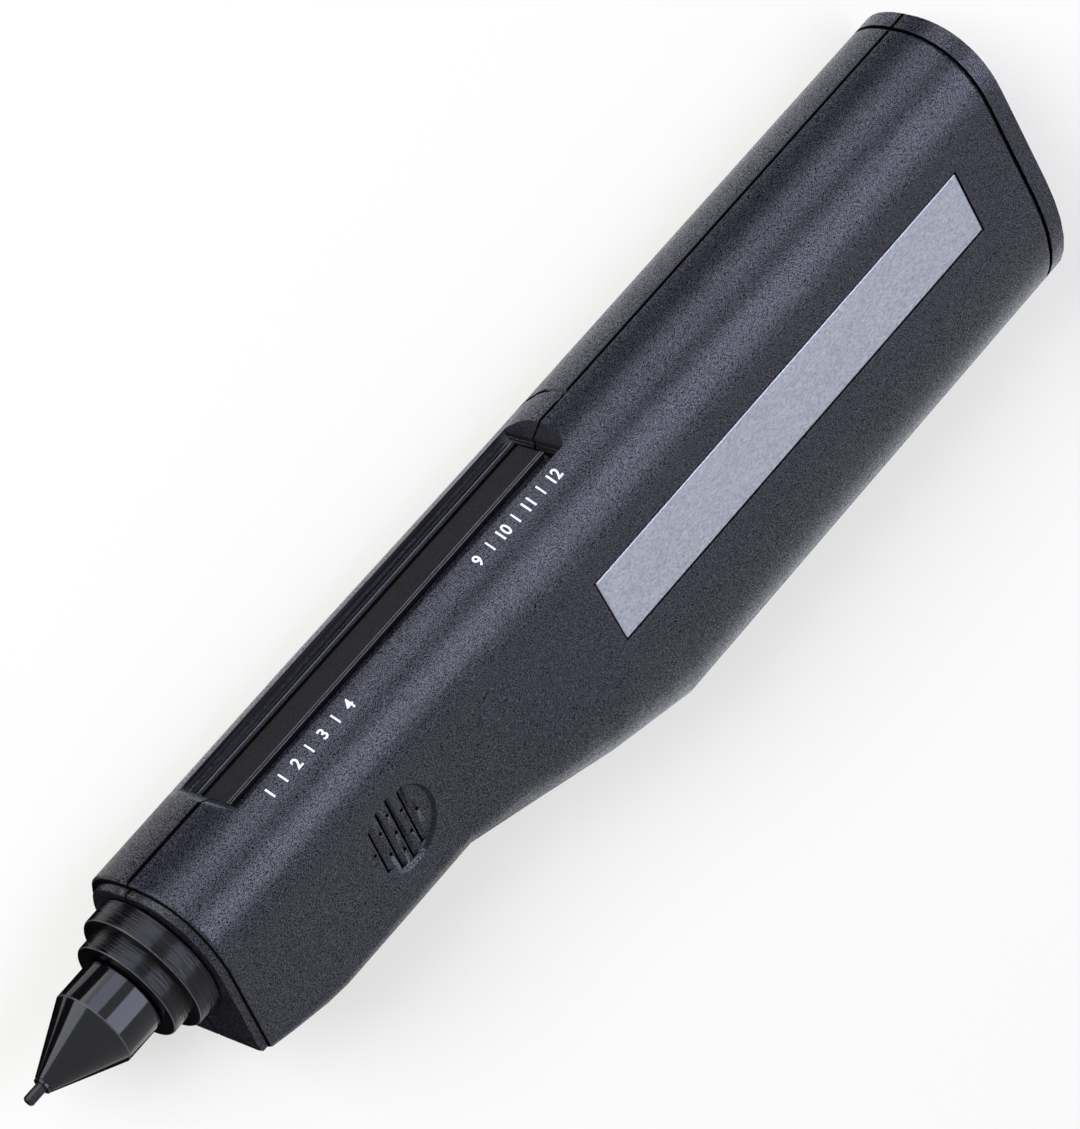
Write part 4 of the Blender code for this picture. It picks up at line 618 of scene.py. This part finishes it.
def numeral(text, station):
    """The filled outline of a number, centred on the station, as a piece on the arc."""
    curve = bpy.data.curves.new("numeral_" + text, "FONT")
    curve.body = text
    curve.size = 0.0022
    curve.offset = 0.00005
    curve.align_x = "CENTER"
    lettering = bpy.data.objects.new("numeral_" + text, curve)
    bpy.context.scene.collection.objects.link(lettering)
    finished = lettering.evaluated_get(bpy.context.evaluated_depsgraph_get())
    mesh = bpy.data.meshes.new_from_object(finished)
    bpy.data.objects.remove(lettering)
    spots = np.empty(len(mesh.vertices) * 3)
    mesh.vertices.foreach_get("co", spots)
    along, up = spots.reshape(-1, 3)[:, :2].T
    mesh.vertices.foreach_set("co", on_arc(station + along, up).ravel())
    made = bpy.data.objects.new("numeral_" + text, mesh)
    bpy.context.scene.collection.objects.link(made)
    return made


def tick(number, station):
    """A mark on the arc, centred on the station: two columns of five points up its height."""
    width, height = 0.00028, 0.0016
    along, up = np.meshgrid(station + np.array([-width, width]) / 2, np.linspace(0, height, 5))
    return surface(f"tick_{number}", on_arc(along, up), grid_faces(5, 2)[:, ::-1], smooth=False)


white_ink = grained(
    "white_ink", (0.86, 0.86, 0.85), scale=3000, speckle=0.15, mottle=0.05,
    roughness=0.45, spread=0.1, depth=0.000004,
)
for numbered in (range(1, 5), range(9, 13)):
    for lamp in numbered:
        station = lamp_stations[lamp - 1]
        legend = [numeral(str(lamp), station)]
        if lamp != numbered[-1]:
            legend.append(tick(lamp, station + lamp_pitch / 2))
        for piece in legend:
            piece.data.materials.clear()
            piece.data.materials.append(white_ink)
            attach(piece, "housing")


# Nameplate. A bare strip of aluminium sheet, brushed along its length, that is stuck in the
# shallow seat in the left flank. Its sheared edges are shaded as if they were broken.
def dress(look, *names):
    """Gives CAD nodes this finish."""
    for name in names:
        mesh = nodes[name].data
        mesh.materials.clear()
        mesh.materials.append(look)


plate_metal = grained(
    "plate_metal", (0.44, 0.455, 0.488), scale=9000, speckle=1.6, mottle=0.1,
    roughness=0.40, spread=0.3, depth=0.000008, stretch=(0.25, 1, 1), edge=0.00016, Metallic=0.9,
)
dress(plate_metal, "nameplate")


# Window lens. A strip of smoked acrylic with a stem down to the lamps, held in the window's
# recess. Two fine ridges run along its near edge, and a third, which is part of the housing,
# runs along the far side of the groove beside it, whose floor is painted black as shade. The
# ridges are given a lighter grey, a painted highlight where they catch the light.
def prism(name, outline, start, end):
    """An outline of (across from the seam, up from the arc's centre) points, carried straight
    from one station to another, with its ends filled."""
    across, up = np.array(outline).T
    rings = [
        np.stack([np.full(len(up), probe_end - station), arc_centre - up, seam_height - across], -1)
        for station in (start, end)
    ]
    sides = grid_faces(2, len(up), wrap_columns=True)
    return surface(name, np.stack(rings), sides, smooth=False, closed=True)


smoked_acrylic = grained(
    "smoked_acrylic", (0.014, 0.0138, 0.0135), scale=8500, speckle=5.0, mottle=0.3,
    roughness=0.55, spread=0.3, depth=0.00002, Specular_IOR_Level=0.10,
)
# Painted highlight: a lighter, glossier grey for the fine ridges, where their edges catch the light.
lens_rim_highlight = grained(
    "lens_rim_highlight", (0.085, 0.085, 0.095), scale=4200, speckle=2.0, mottle=0.2,
    roughness=0.25, spread=0.1, depth=0.00001, Specular_IOR_Level=0.9,
)
lens_end, lens_start = (neat(probe_end - corner[0]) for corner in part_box("window_lens"))
half_lens, half_stem = 0.00245, 0.0016
lens_top, lens_foot, stem_end = 0.01008, 0.0096, 0.0070
ridge_half, ridge_rise, ridge_points = 0.00009, 0.00014, 9
ridges = [
    (middle + ridge_half * math.cos(angle), lens_top + ridge_rise * math.sin(angle))
    for middle in (-0.00237, -0.00188)
    for angle in np.linspace(math.pi, 0, ridge_points)
]
lens = prism("lens_strip", [
    (-half_lens, lens_foot), (-half_lens, lens_top), *ridges, (half_lens, lens_top),
    (half_lens, lens_foot), (half_stem, lens_foot), (half_stem, stem_end),
    (-half_stem, stem_end), (-half_stem, lens_foot),
], lens_start, lens_end)
lens.data.materials.append(smoked_acrylic)
lens.data.materials.append(lens_rim_highlight)
step = np.arange(len(lens.data.polygons)) - 2
on_ridge = (step >= 0) & (step < 2 * ridge_points - 1) & (step != ridge_points - 1)
lens.data.polygons.foreach_set("material_index", on_ridge.astype(int))
far_foot, far_shoulder, far_top = 0.0093, 0.00982, 0.0099
far_ridge = prism("far_ridge", [
    (0.00408, far_foot), (0.00408, far_shoulder), (0.00416, far_top), (0.00424, far_shoulder),
    (0.00424, far_foot),
], 0.0420, 0.1095)
far_ridge.data.materials.append(lens_rim_highlight)
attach(far_ridge, "housing")
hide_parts("window_lens")
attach(lens, "housing")


# Nose. The stepped collar is turned from black acetal, keeps its fine tool rings, and is held in
# the front wall by its flange. The cone and barrel, one polished turning, are plugged into it,
# and the rod of dark ground metal slides in them.
probe_axis = neat(sum(corner[1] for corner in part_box("probe_collar")) / 2)


def turned(name, profile, look, node, body, sides=160, rims=()):
    """A ring of (radius, station) points turned round the probe's axis, which stands for a node.
    The rims are the numbers of the profile's steps that are given a lighter grey, a painted
    highlight where their edges catch the light."""
    radius, station = np.array(profile).T[:, :, None]
    turn = np.linspace(0, 2 * math.pi, sides, endpoint=False)[None, :]
    points = np.stack([
        probe_end - station + 0 * turn,
        probe_axis + radius * np.cos(turn),
        seam_height + radius * np.sin(turn),
    ], -1)
    made = surface(name, points, grid_faces(len(profile), sides, True, True), closed=True)
    made.data.set_sharp_from_angle(angle=math.radians(30))
    made.data.materials.append(look)
    made.data.materials.append(edge_highlight)
    highlit = np.zeros((len(profile), sides), int)
    highlit[list(rims)] = 1
    made.data.polygons.foreach_set("material_index", highlit.ravel())
    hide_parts(node)
    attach(made, body)


# Painted highlight: a lighter grey for the edges of the turned steps, where they catch the light.
edge_highlight = grained(
    "edge_highlight", (0.05, 0.05, 0.055), scale=7000, speckle=3.0, mottle=0.3,
    roughness=0.35, spread=0.5, depth=0.00002,
)
turned_black = grained(
    "turned_black", (0.005, 0.005, 0.0053), scale=4600, speckle=5.0, mottle=0.3,
    roughness=0.20, spread=0.8, depth=0.00012, stretch=(1, 0.03, 0.03), Specular_IOR_Level=0.31,
)
polished_black = grained(
    "polished_black", (0.004, 0.004, 0.0044), scale=8500, speckle=4.0, mottle=0.0,
    roughness=0.08, spread=0.35, depth=0.0000015, Specular_IOR_Level=0.5,
)
dark_rod = grained(
    "dark_rod", (0.03, 0.029, 0.029), scale=6000, speckle=1.0, mottle=0.0,
    roughness=0.30, spread=0.3, depth=0.00001, stretch=(1, 0.05, 0.05), Metallic=0.6,
)
chamber = 0.0029
spigot, barrel, rod_bore, cone_face = 0.0046, 0.00592, 0.00092, 0.0027
turned("nose_skin", [
    (chamber, 0.0244), (spigot, 0.0244), (spigot, 0.0185), (0.00580, 0.0185), (barrel, 0.01838),
    (barrel, 0.01266), (0.005915, 0.01261), (0.005895, 0.01256), (0.00586, 0.0125),
    (0.00583, 0.01245), (0.00140, 0.00314), (0.00128, 0.00310), (0.00127, 0.00276),
    (0.00121, cone_face), (0.00095, cone_face), (rod_bore, 0.00276), (rod_bore, 0.0087),
    (chamber, 0.0087),
], polished_black, "nose_cone", "housing", rims=(5, 6, 7, 8))
tail, flange, neck, socket = 0.0055, 0.0086, 0.0074, 0.0049
rear_ring, front_ring = 0.00942, 0.00783
turned("collar_skin", [
    (chamber, 0.0380), (tail, 0.0380), (tail, 0.0312), (flange, 0.0312), (flange, 0.0292),
    (neck, 0.0292), (neck, 0.0256), (0.00934, 0.0256), (rear_ring, 0.02552),
    (rear_ring, 0.02232), (0.00938, 0.02213), (0.00927, 0.02198), (0.00908, 0.0219),
    (front_ring, 0.0219), (front_ring, 0.01922), (0.00779, 0.01903), (0.00768, 0.01888),
    (0.00749, 0.0188), (socket, 0.0188), (socket, 0.0247), (chamber, 0.0247),
], turned_black, "probe_collar", "housing", rims=(10, 15))
rod, rod_end, rod_middle = 0.000775, 0.0140, 0.00001
turned("rod_skin", [
    (0.00045, 0.0), (0.00056, 0.00003), (0.000745, 0.00023), (rod, 0.0003), (rod, rod_end),
    (rod_middle, rod_end), (rod_middle, 0.0),
], dark_rod, "probe_tip", "probe", sides=96)


# Probe spring. A coil of zinc-plated wire between the heater and the plug in the collar's tail.
# It pushes the rod out, and closes up as the rod is pressed in; here the coil keeps one length.
def coil(name, low, high, wire, curls):
    """A helix along X inside a box, of round wire that comes to a point at both ends: each ring of
    the wire stands on the outward direction and its cross product with the wire's run."""
    steps, sides, point = 24 * curls + 1, 12, 0.000001
    radius, middle = (high[1] - low[1]) / 2 - wire, (low + high) / 2
    turn = np.linspace(0, 2 * math.pi * curls, steps)[:, None]
    around = np.linspace(0, 2 * math.pi, sides, endpoint=False)[None, :, None]
    place = np.linspace(low[0] + wire, high[0] - wire, steps)[:, None]
    outward = np.concatenate([0 * turn, np.cos(turn), np.sin(turn)], 1)
    pitch = (place[-1] - place[0]) / turn[-1]
    run = np.concatenate([0 * turn + pitch, -radius * np.sin(turn), radius * np.cos(turn)], 1)
    run /= np.linalg.norm(run, axis=1)[:, None]
    thickness = np.full((steps, 1, 1), wire)
    thickness[[0, -1]] = point
    line = np.concatenate([place, middle[1:] + radius * outward[:, 1:]], 1)
    ring = np.cos(around) * outward[:, None] + np.sin(around) * np.cross(run, outward)[:, None]
    faces = grid_faces(steps, sides, wrap_columns=True)
    return surface(name, line[:, None] + thickness * ring, faces, closed=True)


zinc = grained(
    "zinc_steel", (0.5, 0.5, 0.49), scale=2500, speckle=0.15, mottle=0.1,
    roughness=0.33, spread=0.1, depth=0.000004, Metallic=1.0,
)
wire, curls, probe_travel = 0.00022, 11, 0.0015
low, high = (np.array(corner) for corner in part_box("probe_spring"))
spring = coil("coil_spring", low, high, wire, curls)
spring.data.materials.append(zinc)
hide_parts("probe_spring")
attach(spring, "housing")
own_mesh(spring)


# Foam pad. A die-cut block of grey foam, wedged between the battery and the end wall. Its cut
# faces are slightly crowned.
def foam_block(name, low, high):
    """A superellipsoid in a box: each axis is the sign times the power of its unit direction."""
    rings, sides, squareness = 41, 96, 0.22
    low, high = np.array(low), np.array(high)
    tilt = np.linspace(-math.pi / 2, math.pi / 2, rings)[:, None]
    turn = np.linspace(0, 2 * math.pi, sides, endpoint=False)[None, :]

    def soft(value):
        return np.sign(value) * np.abs(value) ** squareness

    unit = np.stack([
        soft(np.cos(tilt)) * soft(np.cos(turn)),
        soft(np.cos(tilt)) * soft(np.sin(turn)),
        soft(np.sin(tilt)) + 0 * turn,
    ], -1)
    faces = grid_faces(rings, sides, wrap_columns=True)
    return surface(name, (low + high) / 2 + unit * (high - low) / 2, faces, closed=True)


foam = grained(
    "grey_foam", (0.1, 0.1, 0.1), scale=2500, speckle=5.0, mottle=0.6,
    roughness=0.95, spread=0.2, depth=0.0003,
)
pad = foam_block("foam_pad", *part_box("battery_pad"))
pad.data.materials.append(foam)
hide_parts("battery_pad")
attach(pad, "housing")


# Circuit board. A glass-fibre board under a green solder mask, which lies along the seam behind
# the nose. The two front case screws clamp it between the halves' bosses.
board_green = grained(
    "board_green", (0.02, 0.12, 0.05), scale=900, speckle=0.3, mottle=0.2,
    roughness=0.35, spread=0.1, depth=0.00001,
)
dress(board_green, "circuit_board")


# Lamps. Twelve round-topped light-emitting diodes of tinted clear resin, soldered in a row along
# the board's top edge, under the lens's stem.
lamp_resin = grained(
    "lamp_resin", (0.6, 0.12, 0.09), scale=600, speckle=0.1, mottle=0.1,
    roughness=0.12, spread=0.02, depth=0.000001,
)
dress(lamp_resin, *[f"led_{n}" for n in range(1, 13)])


# Black mouldings. The bar that holds the lamps upright, the round sounder behind the grille, the
# controller chip and the switch knob are black plastic. The bar slips over the lamps, the
# sounder and the chip are soldered to the board, and the knob's stem slides in the switch.
black_plastic = grained(
    "black_plastic", (0.02, 0.02, 0.021), scale=3000, speckle=0.3, mottle=0.1,
    roughness=0.45, spread=0.1, depth=0.00001,
)
dress(black_plastic, "led_holder", "sound_buzzer", "controller_chip", "switch_knob")


# Capacitor and trimmer. The capacitor is a small can in a blue sleeve, and the trimmer a blue
# moulded block with a slotted dial. Both are soldered to the board.
blue_plastic = grained(
    "blue_plastic", (0.03, 0.08, 0.25), scale=2000, speckle=0.2, mottle=0.1,
    roughness=0.35, spread=0.1, depth=0.000005,
)
dress(blue_plastic, "power_capacitor", "trim_pot")


# Switch body and battery snap. Both are dark pressed fibre: the body is soldered to the board's
# right face, and the snap is pushed on to the battery's two studs.
fibre = grained(
    "dark_fibre", (0.05, 0.045, 0.04), scale=2000, speckle=0.5, mottle=0.2,
    roughness=0.6, spread=0.1, depth=0.00002,
)
dress(fibre, "switch_body", "battery_snap")


# Battery. A 9 V block with two studs, in a plain drawn metal can. It lies in the grip between
# the left half's ribs and the door.
battery_can = grained(
    "battery_can", (0.18, 0.18, 0.2), scale=1500, speckle=0.1, mottle=0.1,
    roughness=0.35, spread=0.05, depth=0.000003, Metallic=0.8,
)
dress(battery_can, "battery")


# Plunger and plug. Both are turned brass: the plunger slides in the nose and carries the rod and
# its heater, and the plug closes the collar's tail behind the spring.
brass = grained(
    "turned_brass", (0.6, 0.43, 0.18), scale=3000, speckle=0.1, mottle=0.1,
    roughness=0.25, spread=0.05, depth=0.000003, Metallic=1.0,
)
dress(brass, "probe_plunger", "spring_plug")


# Case screws. Four zinc-plated pan-head screws, which go in from the right and draw the halves
# together: two through the board, two in the grip.
dress(zinc, *[f"case_screw_{n}" for n in range(1, 5)])


# Heater. A bead of white ceramic at the back of the rod, held in the plunger's bore. It keeps
# the rod warm, so that its cooling can be read.
ceramic = grained(
    "ceramic_heater", (0.75, 0.72, 0.66), scale=2500, speckle=0.1, mottle=0.1,
    roughness=0.6, spread=0.1, depth=0.00001,
)
dress(ceramic, "probe_heater")


# Leads. Stranded wires in soft plastic sleeves, soldered at their ends: a red and a black one
# from the snap to the board, and two white ones from the board to the probe.
for colour_name, colour, leads in (
    ("red_sleeve", (0.45, 0.02, 0.02), ["snap_lead_red"]),
    ("black_sleeve", (0.015, 0.015, 0.015), ["snap_lead_black"]),
    ("white_sleeve", (0.65, 0.65, 0.63), ["probe_lead_1", "probe_lead_2"]),
):
    sleeve = grained(
        colour_name, colour, scale=1500, speckle=0.1, mottle=0.1,
        roughness=0.4, spread=0.05, depth=0.000005,
    )
    dress(sleeve, *leads)
